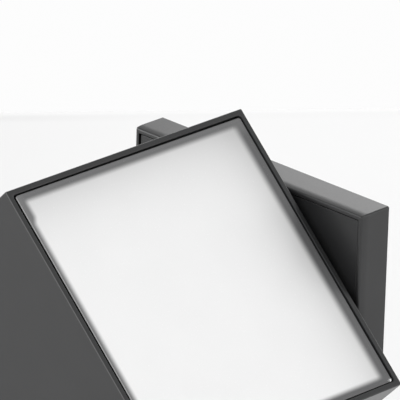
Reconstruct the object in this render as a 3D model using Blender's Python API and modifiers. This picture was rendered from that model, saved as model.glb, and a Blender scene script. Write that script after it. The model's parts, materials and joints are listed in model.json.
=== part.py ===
"""Outdoor wall lantern: a square wall box, and a cube-shaped lamp head that swivels in front of it.

The origin is the middle of the wall bracket's back face, which lies on the wall. +X is to the right
and -Y is out of the wall, towards the viewer. The head turns about the Y axis. Its pieces are laid
out with the diffuser facing straight up, and they hang on an empty that turns them to where the lamp
is set. All sizes are in metres.
"""

import math

import bmesh
import bpy
from mathutils import Matrix, Vector

# Driving sizes of the two visible boxes.
WALL_BOX_SIDE = 0.110
WALL_BOX_DEPTH = 0.0137
HEAD_SIDE = 0.1113
HEAD_LENGTH = 0.1129
HEAD_GAP = 0.0027
HEAD_TURN = math.radians(44.2)

REST = 0.0003          # gap between two pieces that rest on each other
FINE = 0.0002          # gap around a piece that sits in a close hole
OVERLAP = 0.001        # how far a boss reaches into the wall that carries it

# Wall box: rim, recessed front cover and what is behind it, along Y (0 is the wall).
RIM = 0.0020
COVER_RECESS = 0.00055
COVER_GAP = 0.0004
COVER_THICK = 0.0020
SEAL_THICK = 0.0010
LEDGE_THICK = 0.0015
LEDGE_WIDTH = 0.0040
GUSSET = 0.014
BOX_HALF = WALL_BOX_SIDE / 2
BOX_INNER = BOX_HALF - RIM
FRONT_Y = -WALL_BOX_DEPTH
COVER_FRONT = FRONT_Y + COVER_RECESS
COVER_BACK = COVER_FRONT + COVER_THICK
LEDGE_FRONT = COVER_BACK + SEAL_THICK + 2 * REST
LEDGE_BACK = LEDGE_FRONT + LEDGE_THICK
COVER_SCREW_AT = 0.045
PILOT_BOTTOM = COVER_FRONT + 0.0006
COVER_HALF = BOX_INNER - COVER_GAP
COVER_CORNER = 0.0010
COVER_SEAL_WIDTH = 0.0026
COVER_BOSS = 0.0032
COVER_EARTH_BOSS = 0.0042
BOX_EDGE = 0.0004
BOX_CORNER = 0.0012

# Wall bracket: a flat bar with bent ears that the two side screws press on.
BRACKET_THICK = 0.0015
BRACKET_HALF = 0.048
BRACKET_WIDTH = 0.026
EAR_DEPTH = 0.0085
EAR_SHARE = 0.6              # of the bar's width
SLOT_AT = 0.030
SLOT_LENGTH = 0.014
SLOT_WIDTH = 0.005
SIDE_SCREW_Y = -0.0053
FOAM_WIDTH = 0.0035
FOAM_FRONT = -0.0026

# Pivot stack, from the wall box side to the head side.
TUBE_RADIUS = 0.0060
TUBE_BORE = 0.0044
RUNNING = 0.0001
BUSH_RADIUS = 0.0082
FLANGE_RADIUS = 0.0110
FLANGE_THICK = 0.0008
SPRING_THICK = 0.0008
STOP_THICK = 0.0012
LOCK_NUT_THICK = 0.0025
NUT_ACROSS = 0.019
STOP_RADIUS = 0.0145
STOP_LUG = 0.0016
STOP_TAB_WIDTH = 0.003
STOP_TAB_END = 0.0165
STOP_LUG_ANGLE = math.radians(15.0)
BUSH_BACK = COVER_BACK + REST + FLANGE_THICK
STOP_BACK = BUSH_BACK + SPRING_THICK + STOP_THICK + 2 * REST
TUBE_BOX_END = -0.0043
TUBE_HEAD_END = -0.0310
HEAD_NUT_THICK = 0.0050
HEAD_WASHER_THICK = 0.0012
HEAD_WASHER_RADIUS = 0.0100
DISC_RADIUS = 0.024
RING_MAJOR = 0.0079
RING_MINOR = 0.0012

# Head: shell, diffuser seat and the stack under it. Z is measured from the head's axis.
HEAD_HALF = HEAD_SIDE / 2
HEAD_BACK = FRONT_Y - HEAD_GAP
HEAD_FRONT = HEAD_BACK - HEAD_LENGTH
HEAD_MID = (HEAD_BACK + HEAD_FRONT) / 2
HEAD_RIM = 0.0020
HEAD_WALL = 0.0025
SEAT_RADIUS = 0.0014
DIFFUSER_RECESS = 0.0005
DIFFUSER_THICK = 0.0020
DIFFUSER_CORNER = 0.0010
DIFFUSER_GAP_X = 0.0005
DIFFUSER_GAP_Y = 0.0008
DIFFUSER_SET_X = 0.0002      # the plate lies low and towards the wall in its seat
DIFFUSER_SET_Y = 0.0004
GASKET_THICK = 0.0008
GASKET_WIDTH = 0.0030
SEAT_LEDGE = 0.0034
SEAT_LEDGE_THICK = 0.0025
PAD_LENGTH = 0.011
PAD_WIDTH = 0.0014
EDGE = 0.0003
BOSS_RADIUS = 0.012
BOSS_DEPTH = 0.0025
HOUSING_EARTH_AT = (0.027, 0.0)
HOUSING_EARTH_BOSS = 0.0045
COLUMN_RADIUS = 0.0035
COLUMN_BORE_DEPTH = 0.010
COLUMN_X = 0.046
COLUMN_Y = 0.047
REFLECTOR_DEPTH = 0.0198
REFLECTOR_WALL = 0.0015
BOARD_X = 0.082
BOARD_Y = 0.084
BOARD_THICK = 0.0016
BOARD_SCREW_X = 0.036
BOARD_SCREW_Y = 0.037
CHIP = (0.0028, 0.0035, 0.0007)
CHIP_PITCH = 0.014
CHIPS_EACH_WAY = 5
LEAD_HOLE = (0.0, HEAD_MID + 0.0355)
LEAD_HOLE_RADIUS = 0.003
PAD_THICK = 0.0010
PLATE_X = 0.098
PLATE_Y = 0.100
PLATE_THICK = 0.0040
PLATE_HOLE = 0.0019
DRIVER_X = 0.038
DRIVER_Y = 0.070
DRIVER_Z = 0.024
DRIVER_EAR = 0.008
DRIVER_EAR_HALF = 0.0065
DRIVER_CORNER = 0.0015
DRIVER_EAR_THICK = 0.003
DRIVER_PAD = 0.004
DRIVER_PAD_RADIUS = 0.004
DRIVER_TERMINAL_X = 0.006
DRIVER_LEAD_DEPTH = 0.005

FACE_Z = HEAD_HALF
DIFFUSER_TOP = FACE_Z - DIFFUSER_RECESS
DIFFUSER_BOTTOM = DIFFUSER_TOP - DIFFUSER_THICK
GASKET_BOTTOM = DIFFUSER_BOTTOM - REST - GASKET_THICK
SEAT_Z = GASKET_BOTTOM - REST
SEAT_BOTTOM = SEAT_Z - SEAT_LEDGE_THICK
SEAT_X = HEAD_HALF - HEAD_RIM
SEAT_Y = HEAD_LENGTH / 2 - HEAD_RIM
MOUTH_X = SEAT_X - SEAT_LEDGE
MOUTH_Y = SEAT_Y - SEAT_LEDGE
CAVITY_X = HEAD_HALF - HEAD_WALL
CAVITY_Y = HEAD_LENGTH / 2 - HEAD_WALL
FLOOR_Z = HEAD_WALL - HEAD_HALF
REFLECTOR_TOP = SEAT_Z - REST
REFLECTOR_BOTTOM = REFLECTOR_TOP - REFLECTOR_DEPTH
BOARD_TOP = REFLECTOR_BOTTOM - REST
BOARD_BOTTOM = BOARD_TOP - BOARD_THICK
PAD_BOTTOM = BOARD_BOTTOM - REST - PAD_THICK
PLATE_TOP = PAD_BOTTOM - REST
PLATE_BOTTOM = PLATE_TOP - PLATE_THICK
COLUMN_TOP = PLATE_BOTTOM - REST
HEAD_BOSS_END = HEAD_BACK - HEAD_WALL - BOSS_DEPTH
HOUSING_EARTH_SEAT = HEAD_BACK - HEAD_WALL - 0.003
DRIVER_BOTTOM = FLOOR_Z + DRIVER_PAD + REST
DRIVER_TOP = DRIVER_BOTTOM + DRIVER_Z
DRIVER_Y_MID = HEAD_MID - 0.010
DRIVER_MID_Z = (DRIVER_BOTTOM + DRIVER_TOP) / 2
DRIVER_INLET_Y = DRIVER_Y_MID + DRIVER_Y / 2
DRIVER_OUTLET_Y = DRIVER_Y_MID + 0.010
DRIVER_SCREWS = [(0.0, DRIVER_Y_MID + side * (DRIVER_Y + DRIVER_EAR) / 2) for side in (-1, 1)]

# Terminal block, on the back of the front cover above the bracket, and the earth screw beside it.
BLOCK_HALF_X = 0.014
BLOCK_LOW_Z = 0.027
BLOCK_HIGH_Z = 0.041
BLOCK_MID_Z = (BLOCK_LOW_Z + BLOCK_HIGH_Z) / 2
BLOCK_BACK = -0.0028
POLE_PITCH = 0.0085
POLE_Y = -0.0062
POLES = {"live": -POLE_PITCH, "neutral": 0.0, "earth": POLE_PITCH}
ENTRY_RADIUS = 0.0014
ENTRY_DEPTH = 0.0045
WELL_RADIUS = 0.0018
WELL_DEPTH = 0.0014
BLOCK_SCREW_AT = (POLE_PITCH / 2, BLOCK_MID_Z)
BLOCK_SCREW_HOLE = 0.0016
BASE_EARTH_AT = (0.033, 0.034)
BASE_EARTH_SEAT = COVER_BACK + 0.0026

# The four corners of a square, as signs, and what stands at them.
CORNERS = [(1, 1), (-1, 1), (-1, -1), (1, -1)]
COVER_SCREWS = [(x * COVER_SCREW_AT, z * COVER_SCREW_AT) for x, z in CORNERS]
COLUMNS = [(x * COLUMN_X, HEAD_MID + y * COLUMN_Y) for x, y in CORNERS]
BOARD_SCREWS = [(x * BOARD_SCREW_X, HEAD_MID + y * BOARD_SCREW_Y) for x, y in CORNERS]

# Screws: head radius, head height, shank radius.
M3_PAN = (0.0028, 0.0019, 0.0015)
M3_CLEAR = 0.0018
M3_SHORT = 0.0036
M3_MEDIUM = 0.0062
M3_LONG = 0.0120
BOARD_PAN = (0.0024, 0.0014, 0.0015)
BLOCK_PAN = (0.0022, 0.0012, 0.0013)
BLOCK_SCREW_LENGTH = 0.0092
TERMINAL_GRUB = (0.0015, 0.0009, 0.0010)
TERMINAL_GRUB_LENGTH = 0.0004
SIDE_GRUB = (0.0020, 0.0028, 0.0020)
SIDE_GRUB_LENGTH = 0.0034
SIDE_GRUB_SEAT = 0.0032      # from the side face

WIRE = 0.0009
LED_WIRE = 0.0006
JACKET = 0.0031
FINE_STEPS = 28
COARSE_STEPS = 10
HOLE_SIDES = 12
WIRE_SPACING = 0.0042

for old in list(bpy.data.objects):
    bpy.data.objects.remove(old)

parts = bpy.data.collections.new("outdoor_wall_lantern")
cutters = bpy.data.collections.new("cutters")
bpy.context.scene.collection.children.link(parts)
bpy.context.scene.collection.children.link(cutters)


def material(name, color, roughness, metallic=0.0):
    """A Principled material."""
    made = bpy.data.materials.new(name)
    made.use_nodes = True
    shader = made.node_tree.nodes["Principled BSDF"]
    shader.inputs["Base Color"].default_value = (*color, 1.0)
    shader.inputs["Roughness"].default_value = roughness
    shader.inputs["Metallic"].default_value = metallic
    return made


POWDER = material("anthracite_powder_coat", (0.055, 0.057, 0.060), 0.45)
OPAL = material("opal_acrylic", (0.86, 0.87, 0.86), 0.25)
STEEL = material("zinc_plated_steel", (0.60, 0.61, 0.63), 0.35, 1.0)
STAINLESS = material("stainless_steel", (0.55, 0.55, 0.56), 0.25, 1.0)
ALUMINIUM = material("bare_aluminium", (0.72, 0.73, 0.75), 0.40, 1.0)
BRASS = material("brass", (0.75, 0.58, 0.25), 0.30, 1.0)
RUBBER = material("black_rubber", (0.02, 0.02, 0.02), 0.80)
FOAM = material("grey_foam", (0.09, 0.09, 0.10), 0.95)
SILICONE = material("grey_silicone", (0.42, 0.42, 0.42), 0.60)
WHITE = material("white_plastic", (0.88, 0.88, 0.87), 0.40)
MASK = material("white_solder_mask", (0.90, 0.91, 0.90), 0.35)
THERMAL = material("thermal_pad", (0.35, 0.45, 0.62), 0.80)
DRIVER = material("driver_case_plastic", (0.82, 0.82, 0.80), 0.50)
TERMINAL = material("terminal_plastic", (0.80, 0.79, 0.72), 0.45)
ACETAL = material("black_acetal", (0.03, 0.03, 0.03), 0.35)
BROWN = material("brown_insulation", (0.16, 0.06, 0.025), 0.45)
BLUE = material("blue_insulation", (0.03, 0.12, 0.45), 0.45)
EARTH = material("green_yellow_insulation", (0.30, 0.48, 0.06), 0.45)
RED = material("red_insulation", (0.50, 0.02, 0.02), 0.45)
BLACK = material("black_insulation", (0.02, 0.02, 0.02), 0.45)


def empty(name, turn):
    """An empty on the head's axis, turned about it."""
    made = bpy.data.objects.new(name, None)
    made.rotation_euler = (0.0, turn, 0.0)
    bpy.context.scene.collection.objects.link(made)
    return made


head_pivot = empty("head_pivot", HEAD_TURN)


def solid(name, bm, look, parent=None, smooth=False):
    """Makes bm the mesh of a named part."""
    mesh = bpy.data.meshes.new(name)
    bm.to_mesh(mesh)
    bm.free()
    mesh.materials.append(look)
    if smooth:
        mesh.shade_smooth()
        mesh.set_sharp_from_angle(angle=math.radians(35))
    made = bpy.data.objects.new(name, mesh)
    parts.objects.link(made)
    made.parent = parent
    return made


def tool(name, bm, parent=None):
    """Makes bm the mesh of a cutter."""
    made = solid(name, bm, POWDER, parent)
    parts.objects.unlink(made)
    cutters.objects.link(made)
    made.hide_render = True
    made.display_type = "WIRE"
    return made


def combine(target, other, operation):
    """Cuts other from target, or joins it on."""
    modifier = target.modifiers.new(other.name, "BOOLEAN")
    modifier.operation = operation
    modifier.solver = "EXACT"
    modifier.object = other


def box(bm, low, high):
    """A box between two corners. Returns its new vertices."""
    low, high = Vector(low), Vector(high)
    size = high - low
    place = Matrix.Translation((low + high) / 2) @ Matrix.Diagonal((*size, 1.0))
    return bmesh.ops.create_cube(bm, size=1.0, matrix=place)["verts"]


def edges_along(verts, axis):
    """The edges between these vertices that run along an axis (0, 1 or 2)."""
    found = {edge for vert in verts for edge in vert.link_edges}
    return [e for e in found if abs((e.verts[0].co - e.verts[1].co).normalized()[axis]) > 0.99]


def bevel(bm, edges, radius, segments):
    bmesh.ops.bevel(
        bm, geom=edges, offset=radius, offset_type="OFFSET", segments=segments, profile=0.5,
        affect="EDGES", clamp_overlap=True,
    )


def plate(low, high, axis, corner, segments):
    """A box whose four edges along one axis are rounded or, with one segment, cut off."""
    bm = bmesh.new()
    bevel(bm, edges_along(box(bm, low, high), axis), corner, segments)
    return bm


def soft_box(low, high, radius, segments=2):
    """A box with all its edges rounded."""
    bm = bmesh.new()
    box(bm, low, high)
    bevel(bm, bm.edges[:], radius, segments)
    return bm


def rod(bm, start, end, radius, segments=24):
    """A round bar from start to end."""
    start, end = Vector(start), Vector(end)
    along = end - start
    turn = along.to_track_quat("Z", "Y").to_matrix().to_4x4()
    place = Matrix.Translation((start + end) / 2) @ turn
    bmesh.ops.create_cone(
        bm, cap_ends=True, segments=segments, radius1=radius, radius2=radius,
        depth=along.length, matrix=place,
    )


def rods(ends, radius, segments=24):
    """Several round bars that don't meet."""
    bm = bmesh.new()
    for start, end in ends:
        rod(bm, start, end, radius, segments)
    return bm


def turned(name, profile, look, parent=None, steps=FINE_STEPS, closed=True):
    """A turned piece about the Y axis. The profile's points are (radius, y), from the wall side
    down the outer side, and a closed one comes back up its bore."""
    bm = bmesh.new()
    verts = [bm.verts.new((radius, 0.0, y)) for radius, y in profile]
    for a, b in zip(verts, verts[1:]):
        bm.edges.new((a, b))
    if closed:
        bm.edges.new((verts[-1], verts[0]))
    made = solid(name, bm, look, parent)
    made.rotation_euler = (math.radians(-90.0), 0.0, 0.0)
    screw = made.modifiers.new("turn", "SCREW")
    screw.axis = "Z"
    screw.angle = 2 * math.pi
    screw.steps = steps
    screw.render_steps = steps
    screw.use_merge_vertices = True
    screw.merge_threshold = 0.00001
    screw.use_smooth_shade = False
    return made


def ring(name, outer, inner, y_high, y_low, look, parent=None, steps=FINE_STEPS):
    """A washer or sleeve about the Y axis."""
    profile = [(inner, y_high), (outer, y_high), (outer, y_low), (inner, y_low)]
    return turned(name, profile, look, parent, steps)


def screw_piece(name, size, length, seat, direction, look, parent=None):
    """A screw with a socket in its head. Its head rests on seat, and direction points from the
    seat along the shank."""
    head_radius, head_height, shank = size
    socket = head_radius * 0.45
    profile = [
        (0.0, head_height * 0.45), (socket, head_height * 0.45), (socket, head_height),
        (head_radius * 0.8, head_height), (head_radius, head_height * 0.6), (head_radius, 0.0),
        (shank, 0.0), (shank, -length), (0.0, -length),
    ]
    made = turned(name, profile, look, parent, COARSE_STEPS, closed=False)
    made.location = seat
    made.rotation_euler = Vector(direction).to_track_quat("-Z", "Y").to_euler()
    return made


def hex_nut(name, y_high, y_low, look, parent):
    """A hexagon nut round the pivot tube."""
    bm = bmesh.new()
    rod(bm, (0, y_high, 0), (0, y_low, 0), NUT_ACROSS / math.sqrt(3.0), 6)
    nut = solid(name, bm, look, parent)
    reach = Vector((0, OVERLAP, 0))
    ends = (Vector((0, y_high, 0)) + reach, Vector((0, y_low, 0)) - reach)
    bore = tool(name + "_bore", rods([ends], TUBE_RADIUS + RUNNING, FINE_STEPS), parent)
    combine(nut, bore, "DIFFERENCE")


def smooth_route(route, spacing):
    """Points about one spacing apart on a smooth curve through the route's points."""
    points = [Vector(p) for p in route]
    padded = [2 * points[0] - points[1], *points, 2 * points[-1] - points[-2]]
    found = []
    for a, b, c, d in zip(padded, padded[1:], padded[2:], padded[3:]):
        count = max(1, round((c - b).length / spacing))
        for i in range(count):
            t = i / count
            found.append(
                0.5 * (2 * b + (c - a) * t + (2 * a - 5 * b + 4 * c - d) * t * t
                       + (3 * b - a - 3 * c + d) * t ** 3)
            )
    return [*found, points[-1]]


def wire(name, route, radius, look, parent=None):
    """A wire along a smooth curve through the route's points."""
    points = smooth_route(route, WIRE_SPACING)
    curve = bpy.data.curves.new(name, "CURVE")
    curve.dimensions = "3D"
    curve.bevel_depth = radius
    curve.bevel_resolution = 2
    curve.use_fill_caps = True
    spline = curve.splines.new("POLY")
    spline.points.add(len(points) - 1)
    for slot, point in zip(spline.points, points):
        slot.co = (*point, 1.0)
    curve.materials.append(look)
    made = bpy.data.objects.new(name, curve)
    parts.objects.link(made)
    made.parent = parent
    return made


def square_ring(name, half_x, half_y, width, low, high, axis, look, parent=None, centre=(0, 0, 0)):
    """A flat rectangular ring between two heights along an axis (1 or 2)."""
    spans = {1: (0, 2), 2: (0, 1)}[axis]

    def corners(inset, extra):
        a, b = Vector(centre), Vector(centre)
        for half, span in zip((half_x, half_y), spans):
            a[span] -= half - inset
            b[span] += half - inset
        a[axis], b[axis] = low - extra, high + extra
        return a, b

    made = solid(name, plate(*corners(0.0, 0.0), axis, SEAT_RADIUS, 2), look, parent)
    hole = tool(name + "_hole", plate(*corners(width, OVERLAP), axis, SEAT_RADIUS / 2, 1), parent)
    combine(made, hole, "DIFFERENCE")
    return made


# ---------------------------------------------------------------- wall box

def wall_bracket():
    """Flat bar with two slots for the wall screws and an ear bent forward at each end."""
    half = BRACKET_WIDTH / 2
    low, high = (-BRACKET_HALF, -BRACKET_THICK, -half), (BRACKET_HALF, 0, half)
    bar = solid("wall_bracket", plate(low, high, 1, BRACKET_THICK / 3, 1), STEEL)
    bm = bmesh.new()
    for side in (-1, 1):
        outer = side * BRACKET_HALF
        inner = side * (BRACKET_HALF - BRACKET_THICK)
        low = (min(outer, inner), -EAR_DEPTH, -half * EAR_SHARE)
        high = (max(outer, inner), -BRACKET_THICK / 3, half * EAR_SHARE)
        box(bm, low, high)
    combine(bar, tool("bracket_ears", bm), "UNION")
    for side in (-1, 1):
        low = (side * SLOT_AT - SLOT_LENGTH / 2, -2 * BRACKET_THICK, -SLOT_WIDTH / 2)
        high = (side * SLOT_AT + SLOT_LENGTH / 2, BRACKET_THICK, SLOT_WIDTH / 2)
        slot = tool("bracket_slot", plate(low, high, 1, SLOT_WIDTH * 0.499, 6))
        combine(bar, slot, "DIFFERENCE")


def wall_gasket():
    """Foam strip that seals the box against the wall, just inside its rim."""
    half = BOX_INNER - REST
    square_ring("wall_gasket", half, half, FOAM_WIDTH, FOAM_FRONT, 0.0, 1, FOAM)


def wall_box_frame():
    """The rim with its inner ledge and corner gussets."""
    bm = soft_box((-BOX_HALF, FRONT_Y, -BOX_HALF), (BOX_HALF, -REST, BOX_HALF), BOX_EDGE)
    frame = solid("wall_box_frame", bm, POWDER)
    mouth = BOX_INNER - LEDGE_WIDTH
    spans = [
        ("frame_front_pocket", BOX_INNER, FRONT_Y - OVERLAP, LEDGE_FRONT, BOX_CORNER, 3),
        ("frame_rear_space", BOX_INNER, LEDGE_BACK, OVERLAP, BOX_CORNER, 3),
        ("frame_mouth", mouth, LEDGE_FRONT - OVERLAP, LEDGE_BACK + OVERLAP, GUSSET, 1),
    ]
    for name, half, low, high, corner, segments in spans:
        cutter = tool(name, plate((-half, low, -half), (half, high, half), 1, corner, segments))
        combine(frame, cutter, "DIFFERENCE")
    low, high = LEDGE_FRONT - OVERLAP, LEDGE_BACK + OVERLAP
    holes = [((x, low, z), (x, high, z)) for x, z in COVER_SCREWS]
    combine(frame, tool("frame_screw_holes", rods(holes, M3_CLEAR, HOLE_SIDES)), "DIFFERENCE")
    near, far = BOX_INNER - OVERLAP, BOX_HALF + OVERLAP
    sides = [((side * near, SIDE_SCREW_Y, 0), (side * far, SIDE_SCREW_Y, 0)) for side in (-1, 1)]
    side_holes = tool("frame_side_holes", rods(sides, SIDE_GRUB[2] + FINE, HOLE_SIDES))
    combine(frame, side_holes, "DIFFERENCE")


def front_cover():
    """The plate that closes the box, with the pivot bore, screw bosses and the stop lug behind it."""
    low, high = (-COVER_HALF, COVER_FRONT, -COVER_HALF), (COVER_HALF, COVER_BACK, COVER_HALF)
    cover = solid("front_cover", plate(low, high, 1, COVER_CORNER, 3), POWDER)
    root = COVER_BACK - OVERLAP
    bosses = [((x, root, z), (x, LEDGE_FRONT - REST, z)) for x, z in COVER_SCREWS]
    bm = rods(bosses, COVER_BOSS, HOLE_SIDES)
    lug_x = STOP_RADIUS * math.sin(STOP_LUG_ANGLE)
    lug_z = STOP_RADIUS * math.cos(STOP_LUG_ANGLE)
    rod(bm, (lug_x, root, lug_z), (lug_x, STOP_BACK + REST, lug_z), STOP_LUG, HOLE_SIDES)
    earth_x, earth_z = BASE_EARTH_AT
    rod(bm, (earth_x, root, earth_z), (earth_x, BASE_EARTH_SEAT, earth_z), COVER_EARTH_BOSS, HOLE_SIDES)
    combine(cover, tool("cover_bosses", bm), "UNION")
    bore = [((0, COVER_FRONT - OVERLAP, 0), (0, COVER_BACK + OVERLAP, 0))]
    bore_tool = tool("cover_bore", rods(bore, BUSH_RADIUS + FINE, FINE_STEPS))
    combine(cover, bore_tool, "DIFFERENCE")
    spots = [*COVER_SCREWS, BASE_EARTH_AT, BLOCK_SCREW_AT]
    pilots = [((x, PILOT_BOTTOM, z), (x, 0.0, z)) for x, z in spots]
    combine(cover, tool("cover_pilots", rods(pilots, M3_CLEAR, HOLE_SIDES)), "DIFFERENCE")


def cover_fasteners():
    """Seal under the front cover, the four screws from behind, and the two side screws."""
    half = BOX_INNER - REST
    low, high = COVER_BACK + REST, LEDGE_FRONT - REST
    square_ring("cover_gasket", half, half, COVER_SEAL_WIDTH, low, high, 1, RUBBER)
    length = LEDGE_BACK - PILOT_BOTTOM
    for number, (x, z) in enumerate(COVER_SCREWS, 1):
        seat = (x, LEDGE_BACK + REST, z)
        screw_piece(f"cover_screw_{number}", M3_PAN, length, seat, (0, -1, 0), STAINLESS)
    for name, side in (("side_set_screw_left", -1), ("side_set_screw_right", 1)):
        seat = (side * (BOX_HALF - SIDE_GRUB_SEAT), SIDE_SCREW_Y, 0)
        screw_piece(name, SIDE_GRUB, SIDE_GRUB_LENGTH, seat, (-side, 0, 0), STAINLESS)


def terminal_block():
    """Three-pole block. The lower entries take the head's wires, the upper ones the supply."""
    low = (-BLOCK_HALF_X, COVER_BACK + REST, BLOCK_LOW_Z)
    high = (BLOCK_HALF_X, BLOCK_BACK, BLOCK_HIGH_Z)
    block = solid("terminal_block", soft_box(low, high, 0.0006, 1), TERMINAL)
    side_end = BLOCK_HALF_X + OVERLAP
    entries = [((BLOCK_HALF_X - 0.003, POLE_Y, BLOCK_MID_Z), (side_end, POLE_Y, BLOCK_MID_Z))]
    for x in POLES.values():
        entries.append(((x, POLE_Y, BLOCK_LOW_Z - OVERLAP), (x, POLE_Y, BLOCK_LOW_Z + ENTRY_DEPTH)))
        entries.append(((x, POLE_Y, BLOCK_HIGH_Z - ENTRY_DEPTH), (x, POLE_Y, BLOCK_HIGH_Z + OVERLAP)))
    combine(block, tool("block_entries", rods(entries, ENTRY_RADIUS, HOLE_SIDES)), "DIFFERENCE")
    bottom, top = BLOCK_BACK - WELL_DEPTH, BLOCK_BACK + OVERLAP
    wells = [((x, bottom, BLOCK_MID_Z), (x, top, BLOCK_MID_Z)) for x in POLES.values()]
    combine(block, tool("block_wells", rods(wells, WELL_RADIUS, HOLE_SIDES)), "DIFFERENCE")
    x, z = BLOCK_SCREW_AT
    through = rods([((x, COVER_BACK - OVERLAP, z), (x, top, z))], BLOCK_SCREW_HOLE, HOLE_SIDES)
    combine(block, tool("block_screw_hole", through), "DIFFERENCE")
    screw_piece("terminal_block_screw", BLOCK_PAN, BLOCK_SCREW_LENGTH, (x, BLOCK_BACK + REST / 2, z),
                (0, -1, 0), STEEL)
    for pole, x in POLES.items():
        seat = (x, bottom + FINE + TERMINAL_GRUB_LENGTH, BLOCK_MID_Z)
        screw_piece(f"terminal_screw_{pole}", TERMINAL_GRUB, TERMINAL_GRUB_LENGTH, seat, (0, -1, 0), BRASS)


def wall_box_wiring():
    """Cores from the pivot tube's mouth, under the bracket, to the terminal block, and the wire
    that earths the box."""
    cores = {                 # where each core leaves the tube, how far it fans out under the bar
        "live": (-0.00115, 0.00065, -0.0030, BROWN),
        "neutral": (0.0, -0.0013, 0.0, BLUE),
        "earth": (0.00115, 0.00065, 0.0030, EARTH),
    }
    for pole, (x, z, fan, look) in cores.items():
        end = POLES[pole]
        late = 0.0017 if z < 0 else 0.0
        wire(f"{pole}_core", [
            (x, -0.0074, z), (x * 1.1, -0.0056 + late / 3, z + 0.0002),
            (x + (fan - x) * 0.35, -0.0034 + late / 4, 0.0028 - late / 2),
            (fan, -0.0029, 0.0072), (fan * 1.15, -0.0029, 0.0135),
            (fan + (end - fan) * 0.6, -0.0040, 0.0195), (end, -0.0057, 0.0245),
            (end, POLE_Y, BLOCK_LOW_Z + ENTRY_DEPTH - 0.0010),
        ], WIRE, look)
    earth_x, earth_z = BASE_EARTH_AT
    seat = (earth_x, BASE_EARTH_SEAT + REST, earth_z)
    screw_piece("base_earth_screw", M3_PAN, M3_SHORT, seat, (0, -1, 0), BRASS)
    wire("base_earth_wire", [
        (BLOCK_HALF_X - 0.002, POLE_Y, BLOCK_MID_Z), (0.0185, POLE_Y, BLOCK_MID_Z),
        (0.0235, -0.0070, BLOCK_MID_Z + 0.0008), (earth_x - M3_PAN[0] - 0.0015, -0.0074, earth_z),
    ], WIRE, EARTH)


# ---------------------------------------------------------------- pivot

def pivot():
    """The hollow tube that carries the head, its bush, washers and nuts, from the wall side out."""
    bore = TUBE_RADIUS + RUNNING
    flange_y = COVER_BACK + REST
    turned("pivot_bush", [
        (bore + RUNNING, BUSH_BACK), (FLANGE_RADIUS, BUSH_BACK), (FLANGE_RADIUS, flange_y),
        (BUSH_RADIUS, flange_y), (BUSH_RADIUS, COVER_FRONT), (bore + RUNNING, COVER_FRONT),
    ], ACETAL)
    spring_y = BUSH_BACK + REST + SPRING_THICK
    ring("spring_washer", FLANGE_RADIUS, bore, spring_y, BUSH_BACK + REST, STAINLESS, head_pivot)
    stop_y = spring_y + REST
    stop = ring("stop_washer", FLANGE_RADIUS, bore, STOP_BACK, stop_y, STEEL, head_pivot)
    tab = bmesh.new()
    half = STOP_TAB_WIDTH / 2
    box(tab, (-half, stop_y, -STOP_TAB_END), (half, STOP_BACK, -FLANGE_RADIUS + OVERLAP))
    combine(stop, tool("stop_tab", tab, head_pivot), "UNION")
    nut_y = STOP_BACK + REST
    hex_nut("pivot_lock_nut", nut_y + LOCK_NUT_THICK, nut_y, STEEL, head_pivot)
    ring("pivot_tube", TUBE_RADIUS, TUBE_BORE, TUBE_BOX_END, TUBE_HEAD_END, STEEL, head_pivot)
    high, low = COVER_FRONT - REST, HEAD_BACK + REST
    seat = high - 2 * RING_MINOR + REST
    groove = RING_MAJOR + RING_MINOR + REST
    turned("swivel_disc", [
        (groove, high), (DISC_RADIUS, high), (DISC_RADIUS, low), (bore, low), (bore, seat), (groove, seat),
    ], ACETAL, head_pivot)
    middle = (COVER_FRONT + seat) / 2
    half_height = (COVER_FRONT - seat) / 2 - REST
    angles = [math.radians(90.0 - 45.0 * step) for step in range(8)]
    turned("swivel_o_ring", [
        (RING_MAJOR + RING_MINOR * math.cos(a), middle + half_height * math.sin(a)) for a in angles
    ], RUBBER, head_pivot, 24)
    y = HEAD_BOSS_END - REST
    ring("pivot_head_washer", HEAD_WASHER_RADIUS, bore, y, y - HEAD_WASHER_THICK, STAINLESS, head_pivot)
    y -= HEAD_WASHER_THICK + REST
    hex_nut("pivot_head_nut", y, y - HEAD_NUT_THICK, STEEL, head_pivot)


# ---------------------------------------------------------------- head

def head_level(name, half_x, half_y, low, high, corner, segments):
    """A cutter centred on the head, between two heights."""
    bm = plate((-half_x, HEAD_MID - half_y, low), (half_x, HEAD_MID + half_y, high), 2, corner, segments)
    return tool(name, bm, head_pivot)


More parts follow.
